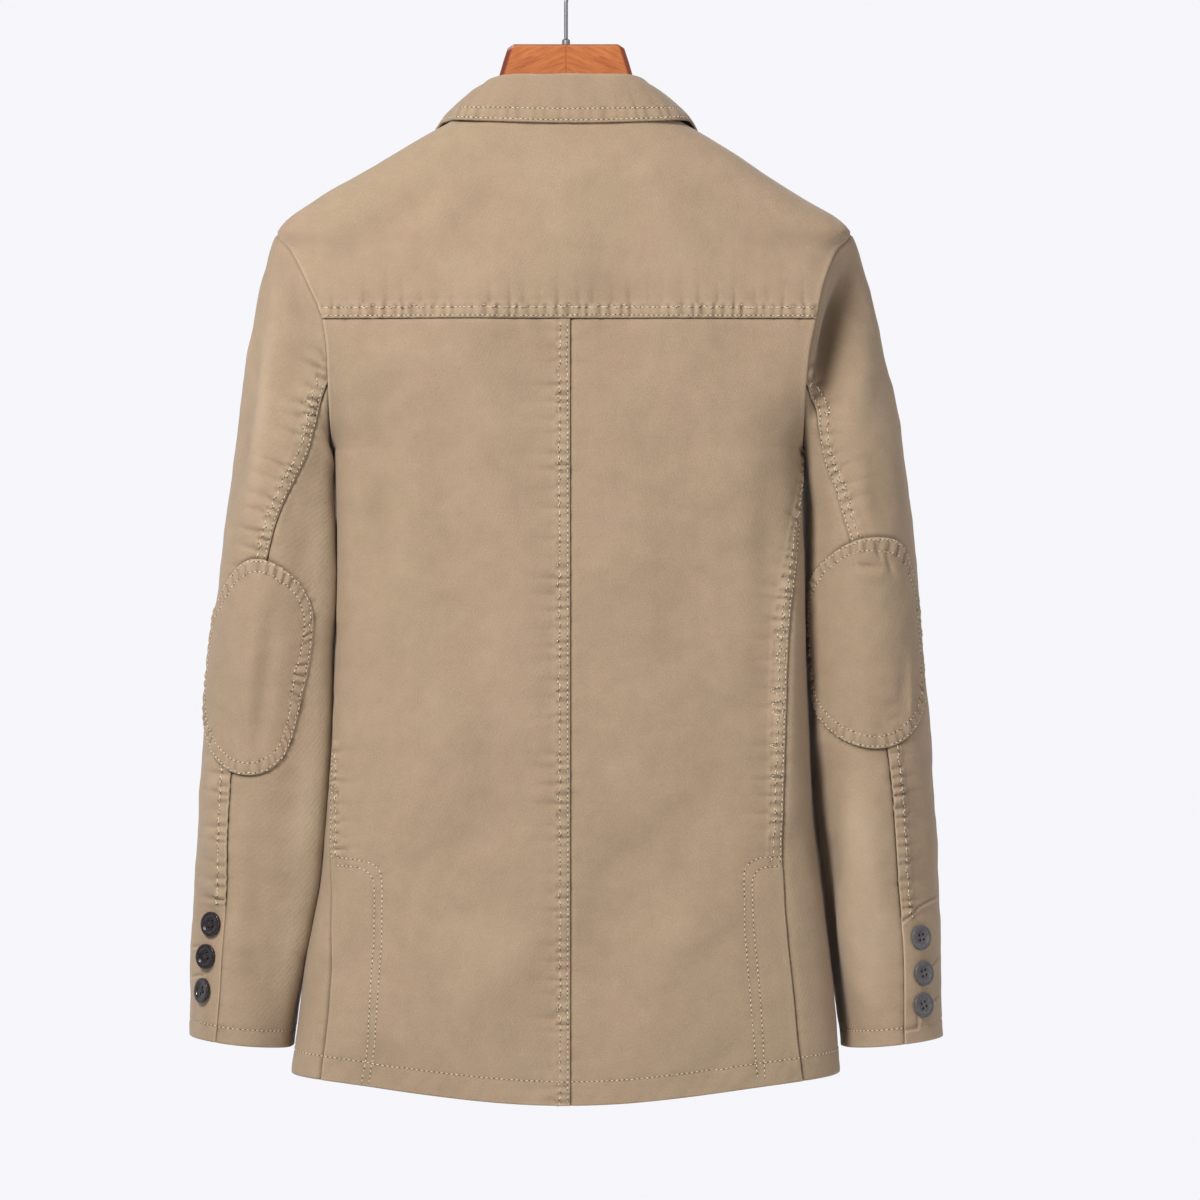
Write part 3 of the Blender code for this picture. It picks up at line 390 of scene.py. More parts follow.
# seams: relief beside a line, measured in mm from it
def besideLine(points, out, line):   # distance along and aside (signed) of each point
    shape = points.shape[:-1]
    flat, outs = points.reshape(-1, 3), out.reshape(-1, 3)
    length, way = lengthsAlong(line), unit(np.gradient(line, axis=0))
    near = np.empty(len(flat), int)
    squares = (line ** 2).sum(1)
    for start in range(0, len(flat), 4000):
        part = flat[start:start + 4000]
        near[start:start + 4000] = (squares[None, :] - 2.0 * part @ line.T).argmin(axis=1)
    away = flat - line[near]
    along = length[near] + (away * way[near]).sum(1)
    across = unit(np.cross(way[near], outs))
    aside = (away * across).sum(1)
    reach = np.linalg.norm(away, axis=1)          # the far side of a tube is never beside the line
    aside = np.where(reach > 32.0, np.where(aside < 0, -reach, reach), aside)
    past = np.maximum(-along, 0) + np.maximum(along - length[-1], 0)
    distance = np.hypot(np.abs(aside), past)
    return along.reshape(shape), aside.reshape(shape), distance.reshape(shape)


# a pair of rows holds the turned allowance down, and the cloth puckers between and beyond them
twin = {"rows": (2.0, 9.2), "height": 0.9, "dip": 0.55, "pucker": 2.1, "pitch": 7.4, "reach": 9.0,
        "beyond": 0.6}
sleeveTwins = {-1: dict(twin, pucker=2.8, beyond=0.8, reach=12.0),
               1: dict(twin, pucker=2.6, beyond=0.45, reach=8.0)}
paintedShading = {"perMm": 0.11, "darkest": -1.7, "palest": 0.5}     # painted shade in folds and painted light on ridges, by the fold's height


def paintedFoldShading(height):
    return np.clip(paintedShading["perMm"] * height, paintedShading["darkest"], paintedShading["palest"])


def pillows(along, unevenness, stretch, seed, pitch, power):  # rounded swellings between pinched places
    return np.abs(np.sin((along + unevenness * wobble(along, stretch, seed)) * math.pi / pitch)) ** power


def overSeam(along, aside, seed, style=twin):   # the piece that lies on top; aside grows into it
    rows, last = style["rows"], style["rows"][-1]
    inside = (aside > -3.0).astype(float)
    height = style["height"] * ease((aside + 0.2) / 1.3) * (1.0 - ease((aside - last - 1.0) / 3.0))
    for row in rows:
        height -= style["dip"] * hill(aside - row, 0.95)
    pitch = style["pitch"]
    shifted = along + 0.28 * pitch * wobble(along, 3.6 * pitch, seed)
    force = np.clip(0.68 + 0.42 * wobble(along, 6.0 * pitch, seed + 1), 0.2, 1.1)
    pillow = np.abs(np.sin(shifted * math.pi / pitch)) ** 0.7
    between = ease((aside - 0.3) / 1.6) * (1.0 - ease((aside - last - 0.3) / 2.2))
    height += style["pucker"] * force * (pillow - 0.65) * between
    wider = np.abs(np.sin((shifted + 5.0) * math.pi / (pitch * 1.7))) ** 0.5
    beyond = ease((aside - last) / 1.5) * np.exp(-np.maximum(aside - last, 0) / style["reach"])
    height -= style["pucker"] * style["beyond"] * force * (1.0 - wider) * beyond * 2.2
    # pale worn folded edge; painted shade between the puckers, in the drawn-in places beyond the rows and
    # along each row, the puckers' crests paler
    wearAndShade = 0.75 * hill(aside - 0.5, 0.9) + between * force * (1.3 * pillow - 0.95) + 0.12 * between
    wearAndShade -= 0.6 * force * (1.0 - wider) * beyond
    for row in rows:
        wearAndShade -= 0.30 * hill(aside - row, 0.7)
    return height * inside, wearAndShade * inside


def underSeam(along, aside, seed):    # the piece that comes out from under it
    inside = (aside > -3.0).astype(float)
    wider = pillows(along, 3.0, 30.0, seed, twin["pitch"] * 2.1, 0.5)
    beyond = np.exp(-np.maximum(aside, 0) / 8.0) * np.clip(0.5 + 0.6 * wobble(along, 60.0, seed + 2), 0, 1)
    height = -0.9 * hill(aside, 1.8) - 0.8 * (1.0 - wider) * beyond
    # painted shade in the groove along the seam and in the drawn-in places beside it
    wearAndShade = -1.3 * hill(aside, 0.9) - 0.45 * (1.0 - wider) * beyond
    return height * inside, wearAndShade * inside


def singleRow(along, distance, seed):           # one row of stitches: a dip with small puckers, painted shade in both
    force = np.clip(0.55 + 0.5 * wobble(along, 45.0, seed + 1), 0.05, 1)
    puckers = 0.35 * force * (1.0 - pillows(along, 2.5, 30.0, seed, 8.5, 0.6)) * hill(distance, 4.5)
    return -0.45 * hill(distance, 1.0) - puckers, -0.2 * hill(distance, 0.9) - puckers


def pace(length, startEdge, endEdge, fine, coarse):             # 0 to 1, close steps near the ends
    at, steps = 0.0, [0.0]
    while at < length:
        near = min(at - startEdge, length - at - endEdge)
        at += fine + (coarse - fine) * float(ease(near / 22.0))
        steps.append(at)
    return np.array(steps) / steps[-1]


pieces = {}           # name: object, and its surface as a tree of faces
tuck = {"reach": 2.2, "drop": {"under": 1.1, "deep": 2.0}}      # the seam allowance that shows no gap
rims = {"top": (0, 1, True), "bottom": (-1, -2, True), "first": (0, 1, False), "last": (-1, -2, False)}


def seamRims(points, height, under=(), free=(), deep=()):
    # a rim that meets a neighbour stops short of it, and one that lies under it runs on below it
    moved, lowered = points.copy(), height.copy()
    for name, (edge, inward, isRow) in rims.items():
        at, beside = ((place, slice(None)) if isRow else (slice(None), place) for place in (edge, inward))
        away = unit(points[at] - points[beside])
        if name in under or name in deep:
            moved[at] += tuck["reach"] * away
            lowered[at] -= tuck["drop"]["under" if name in under else "deep"]
        elif name not in free:
            moved[at] -= gap / 2.0 * away
    return moved, lowered


def alongGrid(points, axis):         # lengths along a grid's rows (1) or columns (0)
    lengths = np.cumsum(np.linalg.norm(np.diff(points, axis=axis), axis=-1), axis=axis)
    return np.concatenate([np.zeros_like(lengths.take([0], axis=axis)), lengths], axis=axis)


def clothPiece(name, points, height, wearAndShade, out, material="garment dyed twill", thick=clothThick,
               flatPlaces=None):
    # one sheet of cloth: a grid of faces, its size along the cloth as a UV map, worn fading and painted shade
    # as an attribute
    rows, columns = points.shape[:2]
    shown = points + height[..., None] * out
    index = np.arange(rows * columns).reshape(rows, columns)
    if flatPlaces is not None:           # rings round a middle, with their places on the flat cloth
        index = np.concatenate((index, index[:, :1]), axis=1)
    faces = np.stack([index[:-1, :-1], index[:-1, 1:], index[1:, 1:], index[1:, :-1]], -1).reshape(-1, 4)
    down, across = rows // 2, columns // 2
    corner = shown[down, across]
    facing = np.cross(shown[down, across + 1] - corner, shown[down + 1, across] - corner)
    flipped = np.dot(facing, out[down, across]) < 0
    faces = (faces[:, ::-1] if flipped else faces).tolist()
    if flatPlaces is None:
        u = alongGrid(points, 1)
        u -= u[:, across][:, None]
        flatPlaces = np.stack([u, alongGrid(points, 0)], axis=-1)
    else:
        faces.append(index[0, :-1][::1 if flipped else -1].tolist())
    mesh = bpy.data.meshes.new(name)
    mesh.from_pydata((shown.reshape(-1, 3) * mm).tolist(), [], faces)
    corners = np.empty(len(mesh.loops), np.int32)
    mesh.loops.foreach_get("vertex_index", corners)
    flat = flatPlaces.reshape(-1, 2)[corners] * mm
    mesh.uv_layers.new(name="cloth").data.foreach_set("uv", flat.ravel().astype(np.float32))
    wearShadeLayer = mesh.attributes.new("wearAndShade", "FLOAT", "POINT")
    wearShadeLayer.data.foreach_set("value", np.clip(wearAndShade, -1.5, 1.5).ravel().astype(np.float32))
    mesh.shade_smooth()
    mesh.materials.append(bpy.data.materials[material])
    piece = bpy.data.objects.new(name, mesh)
    bpy.context.scene.collection.objects.link(piece)
    wall = piece.modifiers.new("cloth thickness", "SOLIDIFY")
    wall.thickness = thick * mm
    wall.offset = -1.0
    tree = BVHTree.FromPolygons([Vector(point) for point in shown.reshape(-1, 3).tolist()], faces)
    pieces[name] = {"object": piece, "tree": tree}


# materials
def linear(hexColor):                # sRGB hex to linear
    parts = [int(hexColor[i:i + 2], 16) / 255 for i in (1, 3, 5)]
    return tuple(p / 12.92 if p <= 0.04045 else ((p + 0.055) / 1.055) ** 2.4 for p in parts) + (1.0,)


def setUp(node, settings):           # a socket is linked; any other value goes on the input or the node
    for name, value in settings.items():
        if isinstance(value, bpy.types.NodeSocket):
            node.id_data.links.new(value, node.inputs[name])
        elif isinstance(name, int) or name in node.inputs:
            node.inputs[name].default_value = value
        else:
            setattr(node, name, value)


def addNode(material, kind, settings=None, gives=0):
    node = material.node_tree.nodes.new("ShaderNode" + kind)
    setUp(node, settings or {})
    return node.outputs[gives]


def newMaterial(name):
    material = bpy.data.materials.new(name)
    material.use_nodes = True
    return material, material.node_tree.nodes["Principled BSDF"]


twillLook = {
    # the pale colour serves worn edges and painted light on ridges; the dark one is painted shade
    "cloth": "#97816A", "faded": "#C6B194", "paintedShading": "#54412F", "rosy": "#A58871", "greenish": "#918668",
    "twillPitch": 1.25,              # real ribs are 0.7 mm apart; drawn coarser so that they just show
    "roughness": 0.88, "sheen": 0.12,
}


def garmentDyedTwill(name, look, tone=1.0):
    # cotton twill, dyed after sewing and brushed: matt with a faint nap, pale on worn edges, mottled, with
    # painted shade in folds and seam grooves and painted light on fold ridges
    material, shader = newMaterial(name)
    uv = addNode(material, "UVMap", {"uv_map": "cloth"})
    place = addNode(material, "TexCoord", gives="Object")
    wearAndShade = addNode(material, "Attribute", {"attribute_name": "wearAndShade"}, "Fac")
    blotch = addNode(material, "TexNoise", {"Scale": 14.0, "Detail": 4.0, "Roughness": 0.6, "Vector": place})
    cloud = addNode(material, "TexNoise", {"Scale": 70.0, "Detail": 5.0, "Roughness": 0.65, "Vector": place})
    yarn = addNode(material, "TexNoise", {"Scale": 900.0, "Detail": 3.0, "Roughness": 0.7, "Vector": uv})
    tint = addNode(material, "MapRange", {"From Min": 0.35, "From Max": 0.65, "Value": blotch})
    colors = {word: linear(look[word]) for word in ("cloth", "faded", "paintedShading", "rosy", "greenish")}
    blend = {"data_type": "RGBA"}
    dyed = addNode(material, "Mix", {**blend, 0: tint, 6: colors["greenish"], 7: colors["rosy"]}, 2)
    base = addNode(material, "Mix", {**blend, 0: 0.16, 6: colors["cloth"], 7: dyed}, 2)
    # the nap breaks the colour up a little
    speck = addNode(material, "Math", {"operation": "MULTIPLY_ADD", 0: cloud, 1: 0.4, 2: yarn})
    light = addNode(material, "MapRange", {"From Min": 0.4, "From Max": 1.0, "To Min": 0.8 * tone,
                                           "To Max": 1.2 * tone, "Value": speck})
    shade = addNode(material, "HueSaturation", {"Saturation": 1.0, "Color": base, "Value": light})
    # paler towards the pale colour where worn and on fold ridges (painted light), darker towards the
    # painted-shade colour in folds, seams and creases
    pale = addNode(material, "MapRange", {"From Min": 0.05, "From Max": 1.3, "To Max": 0.62, "Value": wearAndShade})
    paler = addNode(material, "Mix", {**blend, 0: pale, 6: shade, 7: colors["faded"]}, 2)
    dark = addNode(material, "MapRange", {"From Min": -0.05, "From Max": -1.8, "To Max": 0.95, "Value": wearAndShade})
    withPaintedShade = addNode(material, "Mix", {**blend, 0: dark, 6: paler, 7: colors["paintedShading"]}, 2)
    turned = addNode(material, "Mapping", {"Rotation": (0.0, 0.0, math.radians(-27)), "Vector": uv})
    ribs = 1000.0 / look["twillPitch"] / 20 * 3.14159          # a wave's scale is in twentieths of a turn
    wave = {"wave_type": "BANDS", "bands_direction": "X", "Scale": ribs, "Distortion": 1.2, "Detail": 2.0,
            "Detail Scale": 2.0, "Vector": turned}
    rib = addNode(material, "TexWave", wave, "Fac")
    relief = addNode(material, "Math", {"operation": "MULTIPLY_ADD", 0: rib, 1: 0.5, 2: yarn})
    bump = addNode(material, "Bump", {"Strength": 0.2, "Distance": 0.0005, "Height": relief})
    soft = addNode(material, "Bump", {"Strength": 0.35, "Distance": 0.002, "Height": cloud, "Normal": bump})
    setUp(shader, {"Base Color": withPaintedShade, "Normal": soft, "Roughness": look["roughness"],
                   "Sheen Weight": look["sheen"], "Sheen Roughness": 0.5, "Specular IOR Level": 0.25})


garmentDyedTwill("garment dyed twill", twillLook)
garmentDyedTwill("patch twill", twillLook, tone=0.97)
print("materials made")


# the body's panels
yokeTurn = math.degrees(math.acos((yokeSeam - armMid) / armReach))
bodyBroad = [        # broad folds the scene adds, read off the photograph: px py px py, width and depth in mm
    (386, 350, 376, 640, 11, -2.5), (350, 330, 346, 700, 9, 1.5), (450, 380, 440, 620, 16, -1.5),
    (690, 360, 704, 640, 15, -1.7), (640, 420, 650, 760, 18, 1.4), (752, 380, 742, 700, 12, 1.5),
    (560, 900, 430, 1050, 22, 2.2), (400, 880, 520, 800, 16, -1.7), (600, 1000, 720, 880, 20, 1.7),
    (590, 890, 700, 800, 16, -1.5), (420, 190, 320, 275, 12, -1.5), (470, 160, 400, 280, 14, 1.4),
    (700, 180, 800, 260, 12, -1.5), (640, 150, 700, 290, 15, 1.2), (340, 1020, 420, 1080, 10, -1.4),
    (735, 1040, 700, 1092, 9, -1.5), (355, 900, 350, 1010, 8, -1.4), (500, 500, 520, 780, 20, 1.4),
    (787, 470, 789, 840, 11, 5.0),
]


def photoFolds(folds, depth):        # the same folds as lines on the cloth, in mm
    return [(*atDepth(*fold[:2], depth), *atDepth(*fold[2:4], depth), *fold[4:]) for fold in folds]


bodyBroad = photoFolds(bodyBroad, photo["backDepth"])


def bodySoft(points, around):        # broad folds and unevenness, calm at the armholes' edge
    fold = foldHeight(bodyBroad, points[..., 0], points[..., 2]) * (np.abs(around) <= 1.0)
    calm = 0.25 + 0.75 * ease((np.abs(np.abs(around) - 1.0)) / 0.12)
    uneven = 1.3 * ripple(points, 95.0, 3) + 0.36 * ripple(points, 34.0, 4) + 0.1 * ripple(points, 13.0, 5)
    return (1.2 * fold + uneven) * calm


centreLevels = np.arange(hem, yokeSeam + 1, 2.0)[::-1]
centreLine = bodyFace(acrossAt("back", centreSeam, centreLevels), centreLevels)[0]
yokeLine = bodyFace(np.linspace(-1, 1, 260), yokeSeam)[0]
underLevels = np.arange(hem, armBottom + 1, 2.0)[::-1]
sideLines = {side: bodyFace(sideSeam(side, underLevels), underLevels)[0] for side in (-1, 1)}
hemAllowance = 17.0
ventRows = {         # the two L-shaped rows of each vent facing, read off the photograph
    1: [[(783, 858), (762, 858), (752, 861), (744, 870), (745, 930), (750, 990), (755, 1050), (758, 1079)],
        [(783, 867), (764, 868), (757, 871), (752, 880), (754, 930), (760, 990), (764, 1050), (765, 1079)]],
    -1: [[(334, 859), (356, 861), (370, 864), (379, 870), (381, 885), (381, 944), (377, 1001), (373, 1053),
          (368, 1084)],
         [(334, 867), (352, 868), (365, 871), (371, 878), (373, 890), (373, 944), (369, 1001), (366, 1053),
          (361, 1084)]],
}


def onBackLine(pixels):
    return softLine(bodyFace(*onBack(pixels))[0])


ventLines = {side: [onBackLine(row) for row in ventRows[side]] for side in (-1, 1)}


def armholeDetail(side, half):       # a rounded edge where the body meets the sleeve
    turns = np.linspace(0, 180, 120) if half == "back" else -np.linspace(0, 180, 120)
    line = sleevePoint(side, turns, armMid)

    def detail(points, out, around, level):
        distance = besideLine(points, out, line)[2]
        return 0.5 * hill(distance - 1.6, 1.8) - 0.6 * hill(distance, 0.9), 0.75 * hill(distance - 0.6, 1.2)
    return detail


def hemRow(points, out, around, level):
    x, above = points[..., 0], level - hem
    height, wearAndShade = singleRow(x, np.abs(above - hemAllowance), 21)
    slant = np.abs(np.sin((x - 0.8 * above + 4 * wobble(x, 50, 8)) * math.pi / 16.0)) ** 0.6
    band = ease((above + 0.5) / 2) * (1 - ease((above - hemAllowance + 1) / 3))
    height = height + band * (0.35 - 0.3 * (1 - slant))
    # pale worn hem edge; painted shade in the hem band's slanted ripples
    wearAndShade = wearAndShade + 0.55 * hill(above - 0.4, 1.0) - 0.18 * band * (1 - slant)
    return height, wearAndShade


def gridBetween(start, end, parts):  # a grid from one edge to the other, row by row
    return start[:, None] * (1 - parts[None, :]) + end[:, None] * parts[None, :]


def bodyPanel(levels, start, end, parts, details, under=(), free=()):
    # each detail is a function of the panel's points, ways out, places round the body and levels
    around = gridBetween(start, end, parts)
    level = np.broadcast_to(levels[:, None], around.shape)
    points, out = bodyFace(around, level)
    height = bodySoft(points, around)
    # random tone, plus painted shade in folds and painted light on ridges
    wearAndShade = 0.10 * ripple(points, 40.0, 9) + 0.5 * paintedFoldShading(height)
    for detail in details:
        h, w = detail(points, out, around, level)
        height, wearAndShade = height + h, wearAndShade + w
    points, height = seamRims(points, height, under, free)
    return points, height, wearAndShade, out


def seamDetail(line, piece, sign, seed):
    def detail(points, out, around, level):
        along, aside, distance = besideLine(points, out, line)
        return piece(along, sign * aside, seed)
    return detail


# yoke: lies over the two backs, held by its two rows
levels = neck + (yokeSeam - neck) * pace(neck - yokeSeam, 2.0, 24.0, 1.3, 4.0)
edge = np.ones(len(levels))
details = [seamDetail(yokeLine, overSeam, -1, 31), armholeDetail(-1, "back"), armholeDetail(1, "back")]
clothPiece("backYoke", *bodyPanel(levels, -edge, edge, np.linspace(0, 1, 360), details))

ventTop = atDepth(333, 862, -50.0)[1]      # the side seam is sewn above it and the vent's edge free below
leftRowsTop = -592.0                       # higher up, the left side's rows lie round the edge


def backSideSeam(side):
    def detail(points, out, around, level):
        along, aside, distance = besideLine(points, out, sideLines[side])
        h, w = overSeam(along, side * aside, 45 + side)
        sewn = ease((points[..., 2] - ventTop) / 6.0)
        if side < 0:
            sewn = sewn * (1.0 - ease((points[..., 2] - leftRowsTop) / 12.0))
        edgeHeight, edgeWear = 0.35 * hill(distance - 2.0, 2.2), 0.7 * hill(distance - 0.4, 0.9)
        near = distance < 60.0
        return (h * sewn + edgeHeight * (1 - sewn)) * near, (w * sewn + edgeWear * (1 - sewn)) * near
    return detail


def ventDetail(side):
    def detail(points, out, around, level):
        height, wearAndShade = 0.0, 0.0
        for row, line in enumerate(ventLines[side]):
            along, aside, distance = besideLine(points, out, line)
            h, w = singleRow(along, distance, 55 + row)
            height, wearAndShade = height + h, wearAndShade + w
        return height, wearAndShade
    return detail


def frontEdgeRow(side):
    rows = np.linspace(-520, hem, 160)
    line = bodyFace(frontEdge(side, rows), rows)[0]

    def detail(points, out, around, level):
        along, aside, distance = besideLine(points, out, line)
        h, w = singleRow(along, np.abs(distance - 7.0), 61)
        return h, w + 0.5 * hill(distance - 0.4, 1.0)
    return detail


# backs: the left one lies over the right one at the centre seam
levels = np.linspace(yokeSeam, hem, 390)
for side, word in sideWords.items():
    atCentre = overSeam if side < 0 else underSeam
    details = [seamDetail(yokeLine, underSeam, 1, 37), seamDetail(centreLine, atCentre, -side, 41),
               backSideSeam(side), ventDetail(side), armholeDetail(side, "back"), hemRow]
    edges = sideSeam(side, levels), acrossAt("back", centreSeam, levels), pace(174.0, 13.0, 13.0, 1.2, 4.2)
    under = ("top",) if side < 0 else ("top", "last")
    clothPiece("back" + word, *bodyPanel(levels, *edges, details, under, free=("bottom",)))

# side panels: each comes to a point under the arm
levels = np.linspace(armBottom - 3.0, hem, 200)
for side, word in sideWords.items():
    details = [seamDetail(sideLines[side], underSeam, -side, 47), hemRow]
    edges = sideSeam(side, levels), frontSeam(side, levels), np.linspace(0, 1, 24)
    clothPiece("side" + word, *bodyPanel(levels, *edges, details, under=("first",), free=("bottom",)))

# fronts: from the armhole and side panel to the roll line and front edge
levels = np.linspace(-132, hem, 230)
for side, word in sideWords.items():
    details = [armholeDetail(side, "front"), hemRow, frontEdgeRow(side)]
    edges = frontSeam(side, levels), frontEdge(side, levels), pace(230.0, 6.0, 10.0, 1.8, 5.6)
    points, height, wearAndShade, out = bodyPanel(levels, *edges, details, free=("bottom", "last"))
    if side < 0:
        points = points + frontRise(points[..., :1]) * out
    clothPiece("front" + word, points, height, wearAndShade, out)


def onFront(side, x, z, height):     # points raised off a front's face
    points, out = bodyFace(side * 2.0 - acrossAt("front", x, z), z)
    if side < 0:
        height = height + frontRise(points[..., 0])
    return points + np.asarray(height)[..., None] * out


def gridWays(points, towards):
    out = unit(np.cross(np.gradient(points, axis=0), np.gradient(points, axis=1)))
    return out * np.sign(np.dot(out[out.shape[0] // 2, out.shape[1] // 2], towards))


lapel = {"top": -154.0, "bottom": -517.0, "roll": 2.2, "clear": 1.4, "rowIn": 6.0}
lapelEdges = table("level reach", [
    (-188, 114.0), (-235, 104.0), (-300, 84.0), (-380, 56.0), (-460, 22.0), (-522, -17.0),
])
down, over = np.linspace(0, 1, 130)[:, None], np.linspace(0, 1, 30)[None, :]
for side, word in sideWords.items():
    rollZ = lapel["top"] + (lapel["bottom"] - lapel["top"]) * down
    edgeZ = -188.0 + (-522.0 + 188.0) * down
    rollX, edgeX = read(frontEdges, "reach", rollZ) + 1.0, read(lapelEdges, "reach", edgeZ)
    x, z = side * (rollX * (1 - over) + edgeX * over), rollZ * (1 - over) + edgeZ * over
    raised = lift + lapel["clear"] + lapel["roll"] * (1 - over) ** 2 * (1 - ease(down * 1.2))
    points = onFront(side, x, z, raised)
    toEdge = np.minimum((1 - over) * np.abs(edgeX - rollX), down * 330.0)
    height, wearAndShade = singleRow(down * 360.0 + 0 * over, np.abs(toEdge - lapel["rowIn"]), 71)
    height, wearAndShade = height + 0.3 * ripple(points, 40.0, 12), wearAndShade + 0.6 * hill(toEdge - 0.3, 1.0)
    clothPiece("lapel" + word, points, height, wearAndShade, gridWays(points, np.array([0.0, 1.0, 0.0])))
print("body cut")

# collar: stand and fall in one folded piece
collarRows = table("place footX footY footZ foldX foldY foldZ edgeX edgeZ front lift", [
    (0.00, 0.0, -34.4, -127.5, 0.0, -30.0, -103.4, 0.0, -139.3, 0, 2.4),
    (0.18, 28.0, -33.6, -127.5, 26.0, -29.0, -103.4, 34.0, -139.3, 0, 2.4),
    (0.36, 50.0, -29.6, -127.5, 44.0, -25.5, -103.6, 61.0, -139.5, 0, 2.8),
    (0.50, 62.0, -20.0, -127.5, 54.0, -15.0, -104.5, 78.0, -139.5, 0, 3.6),
    (0.62, 68.2, 0.0, -127.3, 59.0, 0.0, -107.0, 88.0, -139.0, 0, 3.6),
    (0.74, 64.5, 14.0, -128.5, 60.5, 14.0, -112.0, 96.0, -146.0, 1, 4.0),
    (0.86, 59.0, 26.0, -136.0, 58.5, 30.0, -122.0, 101.0, -153.0, 1, 4.0),
    (1.00, 53.0, 35.5, -155.0, 54.5, 43.5, -144.0, 103.0, -160.0, 1, 3.0),
])
collar = {"foldRadius": 2.6, "bulge": 3.4, "gorge": (84.0, -168.5), "gorgeLift": 3.4, "rows": (2.0, 9.8),
          "stations": 240, "across": 52, "sag": 2.4}


def collarStation(side, row):
    at = {name: values[row] for name, values in collarRows.items()}
    foot = np.array([side * at["footX"], at["footY"], at["footZ"]])
    fold = np.array([side * at["foldX"], at["foldY"], at["foldZ"]])
    x, z = side * at["edgeX"], at["edgeZ"]
    if at["front"]:
        edge = onFront(side, np.array(x), np.array(z), at["lift"])
    else:
        point, out = bodyFace(acrossAt("back", x, z), z)
        edge = point + at["lift"] * out
    away = unit((edge - foot) * [1.0, 1.0, 0.0])
    up = np.array([0.0, 0.0, 1.0])
    inner, outer = fold - collar["foldRadius"] * (away + up), fold + collar["foldRadius"] * (away - up)
    bulge = unit(np.cross(np.cross(edge - outer, away), edge - outer))
    last = at["place"] == 1.0
    middle = (outer + edge) / 2.0 + collar["bulge"] * bulge
    if last:
        gorgeX, gorgeZ = collar["gorge"]
        middle = onFront(side, np.array(side * gorgeX), np.array(gorgeZ), collar["gorgeLift"])
    upper = (outer + middle) / 2.0 + collar["bulge"] * bulge * (0.15 if last else 0.3)
    lower = (middle + edge) / 2.0 + collar["bulge"] * bulge * (0.0 if last else 0.3)
    return np.array([foot, (foot + inner) / 2.0, inner, fold, outer, upper, middle, lower, edge])


def smoothAt(at, lengths, points):   # as pointsAt, but along a smooth curve
    return np.stack([smooth(lengths, points[:, axis], at) for axis in range(points.shape[1])], axis=-1)


count = len(collarRows["place"])
coarse = [collarStation(-1, row) for row in range(count - 1, 0, -1)]
coarse += [collarStation(1, row) for row in range(count)]
placesRound = np.concatenate((-collarRows["place"][:0:-1], collarRows["place"]))
fine = np.linspace(-1.0, 1.0, collar["stations"])
stations = smoothAt(fine, placesRound, np.array(coarse).reshape(len(placesRound), -1))
points = []
for station in stations.reshape(-1, 9, 3):
    lengths = lengthsAlong(station)
    points.append(smoothAt(np.linspace(0.0, lengths[-1], collar["across"]), lengths, station))
points = np.array(points)
for again in range(3):
    points[:, 1:-1] = (points[:, :-2] + 2 * points[:, 1:-1] + points[:, 2:]) / 4
out = gridWays(points, np.array([0.0, 0.0, 1.0]))
fromEdge = alongGrid(points[:, ::-1], 1)[:, ::-1]
along = lengthsAlong(points[:, -1])[:, None] + 0 * fromEdge
# its back edge hangs a little lower in the middle
sag = hill(points[..., 0] - 4.6, 60.0) * ease(1.0 - fromEdge / 32.0) * (points[..., 1] < 0)
points[..., 2] -= collar["sag"] * sag
collarTwin = dict(twin, rows=collar["rows"], height=0.45, pucker=0.35, pitch=8.5, reach=9.0)
height, wearAndShade = overSeam(along, fromEdge, 81, collarTwin)
height = height + 0.5 * ripple(points, 46.0, 13) * ease(fromEdge / 8.0)
wearAndShade = wearAndShade * 0.8 - 0.22 + 0.35 * hill(points[..., 2] + 104.0, 2.0) * ease((fromEdge - 12.0) / 10.0)
clothPiece("collar", points, height, wearAndShade, out)
collarPoints, collarFromEdge = points, fromEdge
print("collar folded")


# sleeves
topSeam = yokeTurn + (180.0 - yokeTurn) / 3.0     # both seams of a sleeve start here at the armhole


def seamTurn(side, level):
    fade = ease((level - armMid) / (capEnd - armMid))
    return topSeam * (1.0 - fade) + read(sleeveSeams[side], "turn", level) * fade


def foreTurn(level):
    fade = ease((level - armMid) / (capEnd - armMid))
    return topSeam * (1.0 - fade) + (360.0 - forearmSeam) * fade


